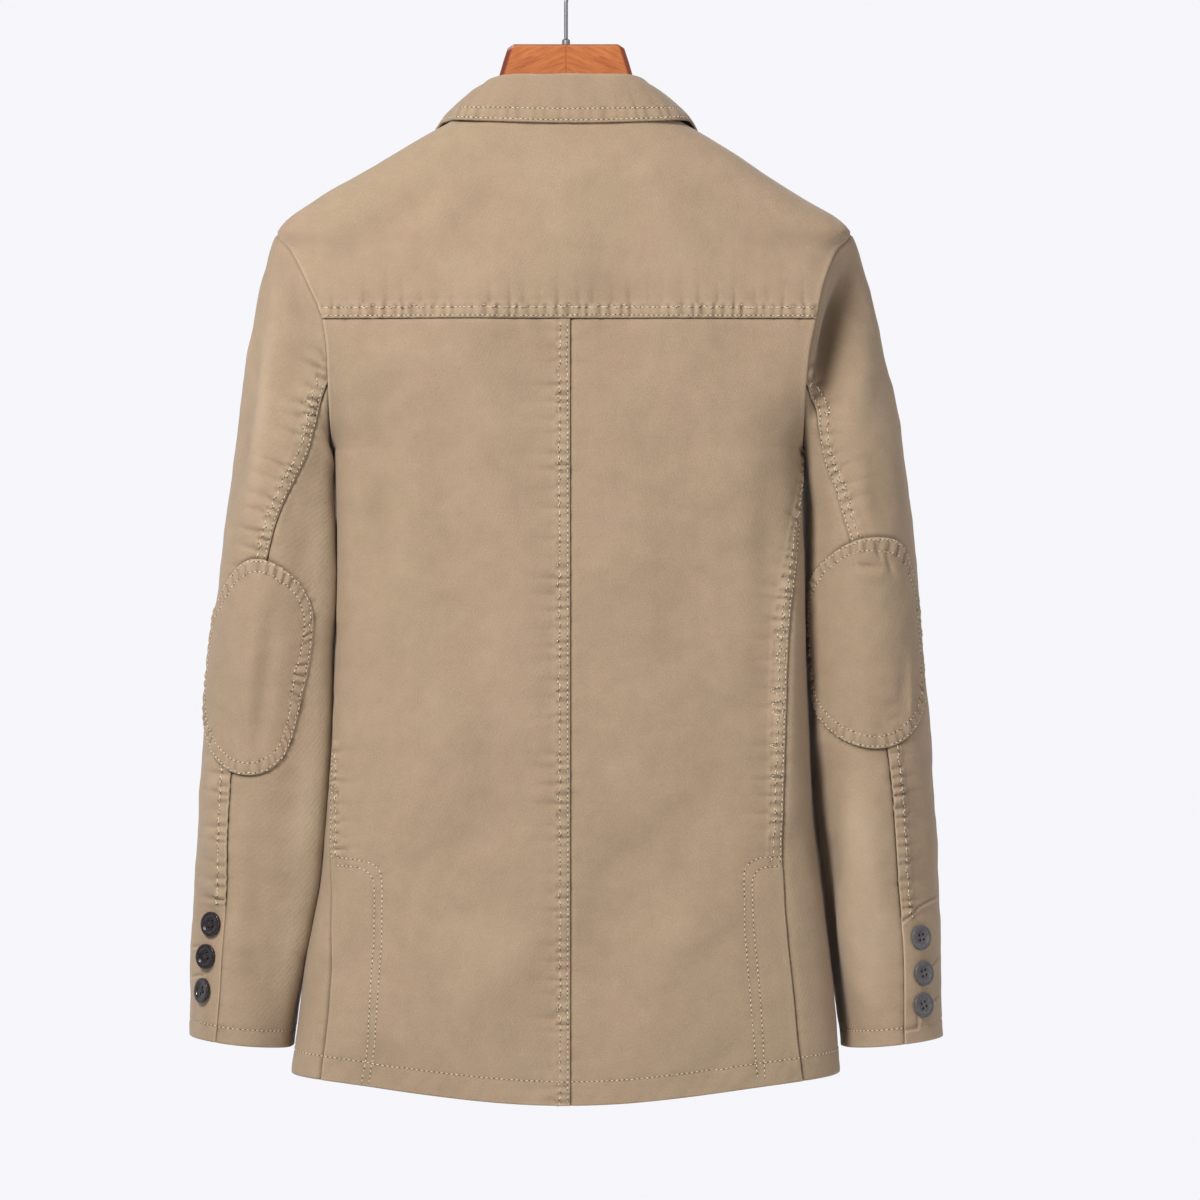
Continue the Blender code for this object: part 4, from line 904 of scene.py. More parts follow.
seamLevels = np.linspace(armMid, cuff, 260)
sleeveSeamLines = {side: sleeveFace(side, seamTurn(side, seamLevels), seamLevels)[0] for side in sideWords}
foreSeamLines = {side: sleeveFace(side, -foreTurn(seamLevels), seamLevels)[0] for side in sideWords}
sleeveBroad = {      # px py px py on the photograph, width and height in mm
    -1: [(281, 246, 246, 545, 6.5, 4.2), (262, 320, 234, 540, 5, -1.8), (303, 262, 282, 430, 10, -3.2),
         (312, 440, 318, 640, 9, 1.5), (304, 560, 324, 700, 7, -1.6), (316, 640, 306, 960, 9, 2.0),
         (300, 780, 290, 1010, 12, 1.2), (258, 790, 252, 1020, 9, -1.6), (216, 700, 204, 900, 5, 1.2),
         (240, 770, 236, 960, 7, 0.9), (205, 860, 200, 1030, 6, -0.9), (283, 545, 300, 470, 6, -1.3),
         (260, 300, 300, 250, 8, -1.0)],
    1: [(855, 236, 818, 424, 13, -16.0), (880, 300, 858, 430, 9, 2.0), (892, 330, 908, 560, 9, 1.3),
        (872, 440, 884, 545, 8, -1.2), (818, 470, 824, 560, 6, -1.8), (905, 540, 915, 590, 6, -1.2),
        (824, 740, 838, 1060, 14, -9.0), (852, 770, 860, 1030, 20, 9.0), (915, 760, 926, 900, 7, -1.2),
        (935, 760, 938, 1000, 5, 0.9), (888, 700, 870, 780, 8, -0.9), (840, 560, 846, 700, 8, -0.7)],
}
sleeveBroad = {side: photoFolds(rows, -42.0) for side, rows in sleeveBroad.items()}
# short folds at the bend of the arm, in front: parts of the sleeve's length, then width and depth
frontSleeveFolds = [(0.20, 0.24, 9, -2.2), (0.42, 0.46, 8, -2.6), (0.47, 0.52, 8, 1.5), (0.55, 0.50, 9, -1.9),
                    (0.75, 0.80, 10, -1.2)]
sleeveClose = {"turn": 206.0, "spread": 20.0, "bulge": 7.0}      # its inner front rests against the side
innerCorner = {"turn": 150.0, "spread": 20.0, -1: 8.5, 1: 2.0}   # its inner back lies flat beside the body


def sleeveSoft(side, points, turn, level):
    sine, cosine = np.sin(np.radians(turn)), np.cos(np.radians(turn))
    behind = ease(sine / 0.25)
    fold = foldHeight(sleeveBroad[side], points[..., 0], points[..., 2]) * behind
    down = (level - armMid) / (cuff - armMid)
    for start, end, width, depth in frontSleeveFolds:
        middle = start + (end - start) * (cosine * 0.5 + 0.5) + 0.01 * side
        bend = 0.6 + 0.4 * np.cos(np.radians(turn + 40))
        fold += ease(-sine / 0.4) * depth * hill((down - middle) * 510.0, width) * bend
    calm = ease((armMid - level) / 22.0)
    uneven = 0.8 * ripple(points, 70.0, 15 + side) + 0.35 * ripple(points, 27.0, 17 + side)
    uneven = uneven + 0.12 * ripple(points, 12.0, 19)
    inner = sleeveClose["bulge"] * hill(turn % 360.0 - sleeveClose["turn"], sleeveClose["spread"])
    inner += innerCorner[side] * hill(turn % 360.0 - innerCorner["turn"], innerCorner["spread"])
    near = ease((armMid - level) / 40.0) * (1.0 - 0.75 * ease((cuff + 90.0 - level) / 90.0))
    return fold * np.maximum(calm, behind * 0.35) + uneven * (0.15 + 0.85 * calm) + inner * near


cuffHem = 12.0


def cuffRow(points, level, side):
    above = level - cuff
    height, wearAndShade = singleRow(points[..., 0], np.abs(above - cuffHem), 91 + side)
    return height, wearAndShade + 0.6 * hill(above - 0.3, 1.0)


def sleeveHead(points, out, side, turn):   # the sleeve dips where the armhole's edge lies over it, with painted shade in the dip and among the gathers
    line = sleevePoint(side, np.linspace(-180, 180, 260), armMid)
    along, aside, distance = besideLine(points, out, line)
    gathers = pillows(along, 3, 30.0, 97, 13.0, 0.6)
    low = hill(distance, 14.0) * np.clip(0.35 + 0.7 * wobble(along, 70.0, 98), 0, 1)
    crown = hill((turn + 180.0) % 360.0 - 180.0, 50.0)       # level with the shoulder at the top
    dip = 1.3 * hill(distance, 2.6) * (1.0 - 0.85 * crown) - 1.6 * crown * hill(distance - 6.0, 16.0)
    return -dip - 0.8 * (1 - gathers) * low, -0.9 * hill(distance, 1.2) - 0.3 * (1 - gathers) * low


# elbow patches: outlines as seen on the photograph; a point off the sleeve's edge lies round behind it
patchShapes = {
    -1: {"middle": (255, 668),
         "outline": [(258, 557), (280, 567), (300, 584), (308, 613), (307, 639), (301, 684), (294, 721),
                     (286, 751), (274, 768), (252, 776), (231, 772), (213, 755), (201, 728), (199, 704),
                     (203, 664), (208, 623), (219, 598), (235, 570)]},
    1: {"middle": (866, 645),
        "outline": [(868, 538), (890, 539), (906, 545), (918, 558), (924, 580), (929, 623), (933, 674),
                    (928, 706), (913, 731), (888, 750), (862, 747), (841, 737), (825, 719), (811, 674),
                    (804, 613), (805, 578), (815, 560), (839, 544)]},
}
armRadius = 50.0       # of the sleeve, for lengths round it
patchWidest = 64.0     # from a patch's middle line, lengths round the sleeve


def closedLine(points, count):
    points = np.array(points, float)
    ring = np.concatenate((points[-3:], points, points[:3]))
    length = lengthsAlong(ring)
    line = smoothAt(np.linspace(length[3], length[3 + len(points)], count, endpoint=False), length, ring)
    for again in range(6):
        line = (np.roll(line, 1, axis=0) + 2 * line + np.roll(line, -1, axis=0)) / 4
    return line


def fromMiddle(shape, turn, level):    # a place's way and distance from a patch's middle, on the flat cloth
    across, up = np.radians(turn - shape["turn"]) * armRadius, level - shape["level"]
    return np.arctan2(up, across), np.hypot(across, up)


def reachAt(at, angles, reach):        # the outline's distance from the middle, in any direction
    order = np.argsort(angles)
    return np.interp(at, angles[order], reach[order], period=2 * math.pi)


for side, shape in patchShapes.items():
    shape["turn"], shape["level"] = (float(value[0]) for value in onSleeve(side, [shape["middle"]]))
    angles = np.radians(np.arange(-180.0, 180.0))
    reach = reachAt(angles, *fromMiddle(shape, *onSleeve(side, closedLine(shape["outline"], 330))))
    high = np.where(angles < 0, reach[90], reach[270])
    oval = (np.abs(np.cos(angles)) / patchWidest) ** 2.5 + (np.abs(np.sin(angles)) / high) ** 2.5
    reach = np.minimum(reach, oval ** -0.4)
    for again in range(110):         # an even oval, as it was cut
        reach = (np.roll(reach, 1) + 2 * reach + np.roll(reach, -1)) / 4
    outline = np.stack([reach * np.cos(angles), reach * np.sin(angles)], axis=-1)
    shape["round"] = closedLine(outline[::-1], 330)


def patchPart(side, turn, level):      # 0 at a patch's middle, 1 on its edge
    angle, distance = fromMiddle(patchShapes[side], turn, level)
    outline = patchShapes[side]["round"]
    angles, reach = np.arctan2(outline[:, 1], outline[:, 0]), np.linalg.norm(outline, axis=1)
    return distance / reachAt(angle, angles, reach)


rings = {part: armMid + (cuff - armMid) * np.linspace(0.0, 1.0, count) ** 1.04
         for part, count in (("top", 400), ("under", 300))}
widths = {"top": pace(185.0, 5.0, 24.0, 1.6, 5.0), "under": pace(150.0, 8.0, 3.0, 2.0, 5.2)}
cuffVent = {-1: atDepth(216, 912, photo["sleeveDepth"])[1], 1: atDepth(902, 922, photo["sleeveDepth"])[1]}
cuffRows = {         # the vent's folded top, its lower corner and the marks of plain buttonholes
    -1: [[(189, 950), (194, 948), (199, 949)], [(188, 980), (193, 978), (199, 977)]],
    1: [[(902, 922), (913, 914), (920, 908), (940, 899)], [(903, 1031), (919, 1029), (919, 1014)],
        [(932, 969), (937, 967), (941, 962)], [(932, 1003), (937, 1004), (942, 1001)]],
}


def onSleeveLine(side, pixels):
    return resample(sleeveFace(side, *onSleeve(side, resample(pixels, 3.0)))[0], 1.0)


cuffLines = {side: [onSleeveLine(side, row) for row in rows] for side, rows in cuffRows.items()}


def sleevePiece(side, part):
    ringLevels = rings[part]
    edges = [-foreTurn(ringLevels), seamTurn(side, ringLevels), 360.0 - foreTurn(ringLevels)]
    start, end = edges[:2] if part == "top" else edges[1:]
    turn = gridBetween(start, end, widths[part])
    level = np.broadcast_to(ringLevels[:, None], turn.shape)
    points, out = sleeveFace(side, turn, level)
    out[0] = armholeRim(side, (turn[0] + 180.0) % 360.0 - 180.0)[0]
    height = sleeveSoft(side, points, turn, level)
    # random tone, plus painted shade in folds and painted light on ridges
    wearAndShade = 0.1 * ripple(points, 40.0, 9) + paintedFoldShading(height)
    along, aside, distance = besideLine(points, out, sleeveSeamLines[side])
    fromSeam = np.where(distance > 40, 60, np.abs(aside))
    covered = ease((1.02 - patchPart(side, turn, level)) / 0.1)
    if part == "top":
        h, w = overSeam(along, fromSeam, 101 + side, sleeveTwins[side])
        sewnDown = ease((points[..., 2] - cuffVent[side]) / 6.0)     # below it the cuff's vent is folded
        h, w = h * sewnDown, w * sewnDown + 0.8 * hill(aside, 1.0) * (1 - sewnDown)
    else:
        h, w = underSeam(along, fromSeam, 103 + side)
    details = [(h * (1 - covered), w)]
    distance = besideLine(points, out, foreSeamLines[side])[2]
    # painted shade along the forearm seam's groove
    details.append((-0.6 * hill(distance, 1.3), -0.6 * hill(distance, 0.9)))
    details += [cuffRow(points, level, side), sleeveHead(points, out, side, turn)]
    outside = (patchPart(side, turn, level) - 1.0) * armRadius         # mm from the patch's edge
    # painted shadow on the sleeve just outside the patch's edge, in a shallow groove
    details.append((-0.35 * hill(outside - 0.5, 1.2), -1.15 * hill(outside - 0.5, 1.0)))
    for line in cuffLines[side] if part == "top" else []:
        along, aside, distance = besideLine(points, out, line)
        # painted shade in each row's groove, a paler raised edge beside it
        details.append((-0.8 * hill(distance, 1.1), -0.9 * hill(distance, 1.0)))
        beside = distance < 4
        details.append((0.5 * hill(aside - 1.8, 1.6) * beside, 0.6 * hill(aside - 1.6, 1.0) * beside))
    for h, w in details:
        height, wearAndShade = height + h, wearAndShade + w
    under = ("first",) if part == "under" else ()
    points, height = seamRims(points, height, under, free=("bottom",), deep=("top",))
    clothPiece(part + "Sleeve" + sideWords[side], points, height, wearAndShade, out)


for side in sideWords:
    for part in rings:
        sleevePiece(side, part)
print("sleeves set")

# elbow patches, laid on the sleeves with two rows of stitches and puckers all round
patchLook = {"lift": 1.9, "thick": 1.3, "rows": (1.7, 8.8), "pitch": 8.2, "pucker": 2.2, "rings": 40,
             "rim": 0.26}
patchFolds = {       # on the photograph: px py px py, width and height in mm
    -1: [(262, 565, 240, 772, 7, 2.6), (278, 590, 254, 775, 6, -1.8), (222, 640, 218, 750, 6, -0.9),
         (243, 700, 244, 772, 2.6, -1.2)],
    1: [(849, 538, 857, 568, 1.6, -2.2), (872, 535, 881, 562, 1.6, -2.2), (883, 548, 894, 580, 1.8, -2.0),
        (852, 565, 882, 569, 2.6, -2.2), (856, 575, 884, 577, 4, 1.2), (911, 640, 909, 735, 1.6, 1.6),
        (902, 650, 901, 735, 3.6, -1.0), (884, 708, 900, 702, 3, -1.0), (886, 722, 902, 716, 3, -1.0),
        (842, 600, 850, 715, 9, -0.9)],
}
nearEdge = np.linspace(0, patchLook["rim"], 20)[:-1]
within = np.linspace(patchLook["rim"], 0.97, patchLook["rings"] - 20)
parts = 1.0 - np.concatenate((nearEdge, within))[::-1]
for side, word in sideWords.items():
    shape = patchShapes[side]
    flat = shape["round"][None, :, :] * parts[:, None, None]
    turn, level = shape["turn"] + np.degrees(flat[..., 0] / armRadius), shape["level"] + flat[..., 1]
    points, out = sleeveFace(side, turn, level)
    along = lengthsAlong(np.concatenate((points[-1], points[-1, :1])))[None, 1:] + 0 * parts[:, None]
    fromEdge = (1.0 - parts)[:, None] * np.linalg.norm(shape["round"], axis=1)[None, :]
    height = sleeveSoft(side, points, turn, level) + patchLook["lift"]
    height += foldHeight(photoFolds(patchFolds[side], -42.0), points[..., 0], points[..., 2])
    force = np.clip(0.65 + 0.4 * wobble(along, 46.0, 121 + side), 0.1, 1.0)
    pillow = pillows(along, 2.2, 28.0, 123 + side, patchLook["pitch"], 0.65)
    wider = np.abs(np.sin((along + 4.0) * math.pi / (1.8 * patchLook["pitch"]))) ** 0.5
    first, second = patchLook["rows"]
    quilted = ease((fromEdge - 0.2) / 1.4) * (1.0 - ease((fromEdge - second - 0.2) / 2.0))
    beyond = ease((fromEdge - second) / 1.5) * np.exp(-np.maximum(fromEdge - second, 0) / 7.0)
    drawn = 0.55 * force * (1 - wider) * beyond
    height += patchLook["pucker"] * force * (pillow - 0.6) * quilted
    height -= drawn + 0.35 * (hill(fromEdge - first, 0.8) + hill(fromEdge - second, 0.9))
    height -= 0.55 * hill(fromEdge, 0.9)
    # pale worn edge; painted shade between the puckers and where the cloth is drawn in, the puckers' crests
    # paler
    wearAndShade = 0.8 * hill(fromEdge - 0.5, 0.9) + quilted * force * (1.3 * pillow - 0.95) - drawn
    clothPiece("patch" + word, points, height, wearAndShade, out, "patch twill", patchLook["thick"], flat)
print("patches laid on")


# buttons, modelled once each and copied
buttonLook = {"sides": 48, "radius": 9.0, "height": 2.5, "rim": 2.7, "slope": 0.9, "dish": 1.0, "hole": 1.05,
              "holeOut": 1.85, "bevel": 0.4, "shank": 0.35, "thread": "#1E1714"}
buttonKinds = {
    "dark": {"color": "#1C1719", "marble": "#2E2628", "roughness": 0.2, "slot": "dark_button",
             "thread": True},
    "grey": {"color": "#514E4F", "marble": "#636061", "roughness": 0.3, "slot": "grey_button",
             "thread": False},
}


def polishedResin(name, look):       # cast polyester: a little glossy, with a faint cloudy marbling
    material, shader = newMaterial(name)
    place = addNode(material, "TexCoord", gives="Object")
    cloud = addNode(material, "TexNoise", {"Scale": 190.0, "Detail": 3.0, "Distortion": 1.4, "Vector": place})
    part = addNode(material, "MapRange", {"From Min": 0.42, "From Max": 0.68, "Value": cloud})
    colors = {"data_type": "RGBA", 6: linear(look["color"]), 7: linear(look["marble"]), 0: part}
    mixed = addNode(material, "Mix", colors, gives=2)
    rough = {"To Min": look["roughness"] * 0.8, "To Max": look["roughness"] * 1.5, "Value": cloud}
    setUp(shader, {"Base Color": mixed, "Roughness": addNode(material, "MapRange", rough)})
    return material


def plainThread(name, color, roughness=0.75):
    # twisted polyester sewing thread: a soft sheen along it, uneven in tone from stitch to stitch
    material, shader = newMaterial(name)
    place = addNode(material, "TexCoord", gives="Object")
    speck = addNode(material, "TexNoise", {"Scale": 260.0, "Detail": 2.0, "Vector": place})
    tone = {"From Min": 0.3, "From Max": 0.7, "To Min": 0.72, "To Max": 1.15, "Value": speck}
    light = addNode(material, "MapRange", tone)
    base = addNode(material, "HueSaturation", {"Color": linear(color), "Value": light})
    setUp(shader, {"Base Color": base, "Roughness": roughness, "Sheen Weight": 0.2})
    return material


def chooseOnly(*chosen):             # selects these; the last one is the active one
    bpy.ops.object.select_all(action="DESELECT")
    for piece in chosen:
        piece.select_set(True)
    bpy.context.view_layer.objects.active = chosen[-1]


def applied(piece, kind, settings):
    chooseOnly(piece)
    modifier = piece.modifiers.new("shape", kind)
    for name, value in settings.items():
        setattr(modifier, name, value)
    bpy.ops.object.modifier_apply(modifier=modifier.name)


def pickTop(piece):                  # leaves edit mode on, with the faces that look up selected
    chooseOnly(piece)
    bpy.ops.object.mode_set(mode="EDIT")
    bpy.ops.mesh.select_all(action="DESELECT")
    bpy.ops.object.mode_set(mode="OBJECT")
    for face in piece.data.polygons:
        face.select = face.normal.z > 0.9
    bpy.ops.object.mode_set(mode="EDIT")
    bpy.ops.mesh.select_mode(type="FACE")


def pressButton(name, material, threadMaterial, crossed):
    look = buttonLook
    bpy.ops.mesh.primitive_cylinder_add(vertices=look["sides"], radius=look["radius"] * mm,
                                        depth=look["height"] * mm, location=(0, 0, look["height"] / 2 * mm))
    button = bpy.context.object
    button.name = name
    bpy.ops.object.transform_apply(location=True, rotation=True, scale=True)
    pickTop(button)
    bpy.ops.mesh.inset(thickness=look["rim"] * mm, depth=0.0)
    bpy.ops.mesh.inset(thickness=look["slope"] * mm, depth=-look["dish"] * mm)
    bpy.ops.object.mode_set(mode="OBJECT")
    applied(button, "BEVEL", {"width": look["bevel"] * mm, "segments": 3, "limit_method": "ANGLE",
                              "angle_limit": math.radians(28)})
    for x, y in ((-1, -1), (-1, 1), (1, -1), (1, 1)):
        place = (x * look["holeOut"] * mm, y * look["holeOut"] * mm, 0)
        bpy.ops.mesh.primitive_cylinder_add(vertices=14, radius=look["hole"] * mm, depth=9 * mm,
                                            location=place)
        drill = bpy.context.object
        applied(button, "BOOLEAN", {"operation": "DIFFERENCE", "object": drill, "solver": "EXACT"})
        bpy.data.objects.remove(drill)
    button.data.materials.clear()
    button.data.materials.append(material)
    chooseOnly(button)
    bpy.ops.object.shade_smooth_by_angle(angle=math.radians(35))
    button.data.materials.append(threadMaterial)
    strands = []
    for turn in (45, 135) if crossed else ():           # the thread crosses between the holes
        place = (0, 0, (look["height"] - look["dish"] + 0.25) * mm)
        bpy.ops.mesh.primitive_uv_sphere_add(segments=10, ring_count=6, radius=1.0 * mm, location=place)
        strand = bpy.context.object
        strand.scale = (3.1, 0.5, 0.42)
        strand.rotation_euler.z = math.radians(turn)
        bpy.ops.object.transform_apply(location=True, rotation=True, scale=True)
        bpy.ops.object.shade_smooth()
        strand.data.materials.append(material)
        strand.data.materials.append(threadMaterial)
        for face in strand.data.polygons:
            face.material_index = 1
        strands.append(strand)
    chooseOnly(*strands, button)
    bpy.ops.object.join()
    return button


def buttonSeat(node, names):         # where a CAD button's back meets the shown cloth, and the way it faces
    corners = np.array([v.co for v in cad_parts[node].data.vertices]) / mm
    middle = corners.mean(axis=0)
    if abs(middle[0]) > 150:          # cuff buttons sit a little higher and nearer the body, as photographed
        middle = middle + np.array([-2.3 * np.sign(middle[0]), 0.0, 1.8])
    facing = np.linalg.svd(corners - middle)[2][2]
    facing = facing * np.sign(facing[1] * middle[1])
    hits = [pieces[name]["tree"].ray_cast(Vector(middle + 14 * facing), Vector(-facing)) for name in names]
    hits = [hit for hit in hits if hit[0] is not None]
    if not hits:
        return middle - 1.3 * facing, facing
    return np.array(min(hits, key=lambda hit: hit[3])[0]), facing


buttonThread = plainThread("dark button thread", buttonLook["thread"])
models = {}
for kind, look in buttonKinds.items():
    resin = polishedResin(kind + " button resin", look)
    models[kind] = pressButton("button model " + kind, resin, buttonThread, look["thread"])
buttonSets = [     # word, how many, kind and the pieces they are sewn to
    ("left", 3, "dark", ("topSleeveLeft", "underSleeveLeft")),
    ("right", 3, "grey", ("topSleeveRight", "underSleeveRight")),
    ("front", 2, "dark", ("frontLeft", "lapelLeft")),
]
for word, count, kind, names in buttonSets:
    for number in range(1, count + 1):
        node = "button_" + word + "_" + str(number)
        place, facing = buttonSeat(node, names)
        mesh = models[kind].data.copy()
        turned = Matrix.Rotation(math.radians(8 * number), 4, "Z")
        aimed = Vector(facing).to_track_quat("Z", "Y").to_matrix().to_4x4()
        moved = Matrix.Translation(Vector((place + buttonLook["shank"] * facing) * mm))
        mesh.transform(moved @ aimed @ turned)
        button = bpy.data.objects.new(word + "Button" + str(number), mesh)
        bpy.context.scene.collection.objects.link(button)
        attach(button, "root")
        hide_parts(node)
for model in models.values():
    bpy.data.objects.remove(model)
print("buttons sewn on")


# hanger: its wood and ferrule stay the solids' own, with better materials, and the hook's wire is made anew
woodLook = {"light": "#BB6E38", "dark": "#994F25", "edge": "#6E2C16", "joint": "#8A4520", "slope": 24.0}


def overlaid(material, under, color, part):          # a colour over another by part, 0 to 1
    return addNode(material, "Mix", {"data_type": "RGBA", 7: linear(color), 0: part, 6: under}, gives=2)


def varnishedWood(name, look):
    # two mitred halves under clear varnish: grain runs down each arm and meets at the joint
    material, shader = newMaterial(name)
    place = addNode(material, "TexCoord", gives="Object")
    axes = addNode(material, "SeparateXYZ", {"Vector": place}).node.outputs
    fromJoint = addNode(material, "Math", {"operation": "ABSOLUTE", 0: axes["X"]})
    folded = addNode(material, "CombineXYZ", {"X": fromJoint, "Y": axes["Y"], "Z": axes["Z"]})
    slope = (0.0, math.radians(look["slope"]), 0.0)
    turned = {"vector_type": "TEXTURE", "Rotation": slope, "Scale": (1.0, 0.2, 0.12), "Vector": folded}
    turned = addNode(material, "Mapping", turned)
    grain = {"Scale": 42.0, "Detail": 6.0, "Roughness": 0.65, "Distortion": 0.6, "Vector": turned}
    grain = addNode(material, "TexNoise", grain)
    fine = addNode(material, "TexNoise", {"Scale": 190.0, "Detail": 3.0, "Vector": turned})
    both = addNode(material, "Math", {"operation": "MULTIPLY_ADD", 1: 0.45, 0: fine, 2: grain})
    ramp = addNode(material, "MapRange", {"From Min": 0.55, "From Max": 0.92, "Value": both})
    colors = {"data_type": "RGBA", 6: linear(look["light"]), 7: linear(look["dark"]), 0: ramp}
    body = addNode(material, "Mix", colors, gives=2)
    # the neck's slanted sides and its top rim are darker
    slant = addNode(material, "Math", {"operation": "MULTIPLY_ADD", 1: 0.31, 0: axes["Z"], 2: fromJoint})
    side = addNode(material, "MapRange", {"From Min": 0.0125, "From Max": 0.0142, "Value": slant})
    edged = overlaid(material, body, look["edge"], side)
    topZ = max(corner.co.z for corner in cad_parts["hanger_wood"].data.vertices)
    rim = {"From Min": topZ - 0.0013, "From Max": topZ - 0.0006, "Value": axes["Z"]}
    rimmed = overlaid(material, edged, look["edge"], addNode(material, "MapRange", rim))
    seam = {"From Min": 0.0005, "From Max": 0.0002, "To Max": 0.7, "Value": fromJoint}
    jointed = overlaid(material, rimmed, look["joint"], addNode(material, "MapRange", seam))
    bump = addNode(material, "Bump", {"Strength": 0.06, "Distance": 0.0005, "Height": both})
    setUp(shader, {"Base Color": jointed, "Normal": bump, "Roughness": 0.34, "Coat Weight": 0.35,
                   "Coat Roughness": 0.24})
    return material


def platedSteel(name, color, roughness):     # nickel-plated wire: mirror bright but for fine draw marks
    material, shader = newMaterial(name)
    place = addNode(material, "TexCoord", gives="Object")
    marks = addNode(material, "TexNoise", {"Scale": 900.0, "Detail": 2.0, "Vector": place})
    rough = {"To Min": roughness * 0.9, "To Max": roughness * 1.15, "Value": marks}
    rough = addNode(material, "MapRange", rough)
    setUp(shader, {"Roughness": rough, "Base Color": linear(color), "Metallic": 1.0})
    return material


# the hook's wire, in mm: straight to well past the photo's edge, then a soft neck into the round hook
hook = {"radius": 1.4, "foot": -75.4, "straight": -49.0, "middle": -19.0, "bend": 20.4,
        "turns": (-20.0, 205.0)}
bpy.ops.curve.primitive_bezier_curve_add()
wire = bpy.context.object
wire.name = "wireHook"
turns = np.radians(np.linspace(*hook["turns"], 6))
handle = 4 / 3 * math.tan((turns[1] - turns[0]) / 4) * hook["bend"]       # what makes a round arc
knots = [((0.0, hook["foot"]), (0.0, 1.0), 6.0, 6.0), ((0.0, hook["straight"]), (0.0, 1.0), 6.0, 9.0)]
for turn in turns:
    place = (hook["bend"] * math.cos(turn), hook["middle"] + hook["bend"] * math.sin(turn))
    knots.append((place, (-math.sin(turn), math.cos(turn)), 9.0 if turn == turns[0] else handle, handle))
wire.data.splines[0].bezier_points.add(len(knots) - 2)
for point, (place, way, before, after) in zip(wire.data.splines[0].bezier_points, knots):
    point.handle_left_type = "FREE"
    point.handle_right_type = "FREE"
    point.co = (place[0] * mm, 0.0, place[1] * mm)
    point.handle_left = ((place[0] - way[0] * before) * mm, 0.0, (place[1] - way[1] * before) * mm)
    point.handle_right = ((place[0] + way[0] * after) * mm, 0.0, (place[1] + way[1] * after) * mm)
wire.data.dimensions = "3D"
wire.data.bevel_depth = hook["radius"] * mm
wire.data.bevel_resolution = 4
wire.data.use_fill_caps = True
bpy.ops.object.convert(target="MESH")
bpy.ops.object.shade_smooth_by_angle(angle=math.radians(40))
wire = bpy.context.object
wire.data.materials.append(platedSteel("nickel-plated wire", "#77787B", 0.4))
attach(wire, "root")
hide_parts("hanger_hook")

finishes = {"hanger_wood": varnishedWood("varnished wood", woodLook),
            "hanger_ferrule": platedSteel("brushed nickel ferrule", "#85847F", 0.38)}
for node, material in finishes.items():
    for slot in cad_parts[node].material_slots:
        slot.material = material
print("hanger finished")


# sewing: rows of raised stitches, with dark discs of painted shade at the needle holes between them
thread = {"color": "#D8C9AD", "pitch": 3.6, "length": 2.5, "width": 0.74, "height": 0.5, "sunk": 0.08,
          "hole": (1.0, 0.8, 0.2), "holeShadeColor": "#33261A"}
sewn = {}              # group: places, ways along and ways out of its stitches


def seatOn(names, points):           # the nearest places on the shown cloth, and the way out of it
    found = []
    for point in points:
        hits = [pieces[name]["tree"].find_nearest(Vector(point)) for name in names]
        hit = min(hits, key=lambda one: one[3])
        found.append((*hit[0], *hit[1]))
    found = np.array(found)
    return found[:, :3], found[:, 3:]


def sewRow(group, names, line, aside=0.0, trim=(0.0, 0.0)):
    line = resample(line, 2.0)
    place, out = seatOn(names, line)
    if aside:
        place = place + aside * unit(np.cross(unit(np.gradient(line, axis=0)), out))
    length = lengthsAlong(place)
    first, last = trim[0], length[-1] - trim[1]
    count = max(2, int((last - first) / thread["pitch"]))
    at = first + (last - first) / count * (np.arange(count) + 0.5)
    centres, out = seatOn(names, pointsAt(at, length, place))
    way = unit(np.gradient(centres, axis=0))
    way = unit(way - (way * out).sum(1)[:, None] * out)
    sewn.setdefault(group, []).append((centres, way, out))


def joinCopies(name, places, ways, outs, size, material, lifted, flat=False):
    if flat:
        bpy.ops.mesh.primitive_circle_add(vertices=6, radius=0.5, fill_type="NGON")
    else:
        bpy.ops.mesh.primitive_uv_sphere_add(segments=5, ring_count=3, radius=0.5)
    model = bpy.context.object
    shape = np.array([v.co for v in model.data.vertices])
    faces = [list(face.vertices) for face in model.data.polygons]
    bpy.data.objects.remove(model)
    pick = np.random.RandomState(len(places))
    vary = 1.0 + 0.07 * pick.normal(size=(len(places), 1, 1))
    across = np.cross(outs, ways)
    x, y, z = (shape[None, :, axis, None] * size[axis] for axis in range(3))
    corners = places[:, None] + vary * x * ways[:, None] + y * across[:, None] + (z + lifted) * outs[:, None]
    mesh = bpy.data.meshes.new(name)
    count = len(shape)
    allFaces = [[index + count * copy for index in face] for copy in range(len(places)) for face in faces]
    mesh.from_pydata((corners.reshape(-1, 3) * mm).tolist(), [], allFaces)
    mesh.shade_smooth()
    mesh.materials.append(material)
    joined = bpy.data.objects.new(name, mesh)
    bpy.context.scene.collection.objects.link(joined)
    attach(joined, "root")
    return joined


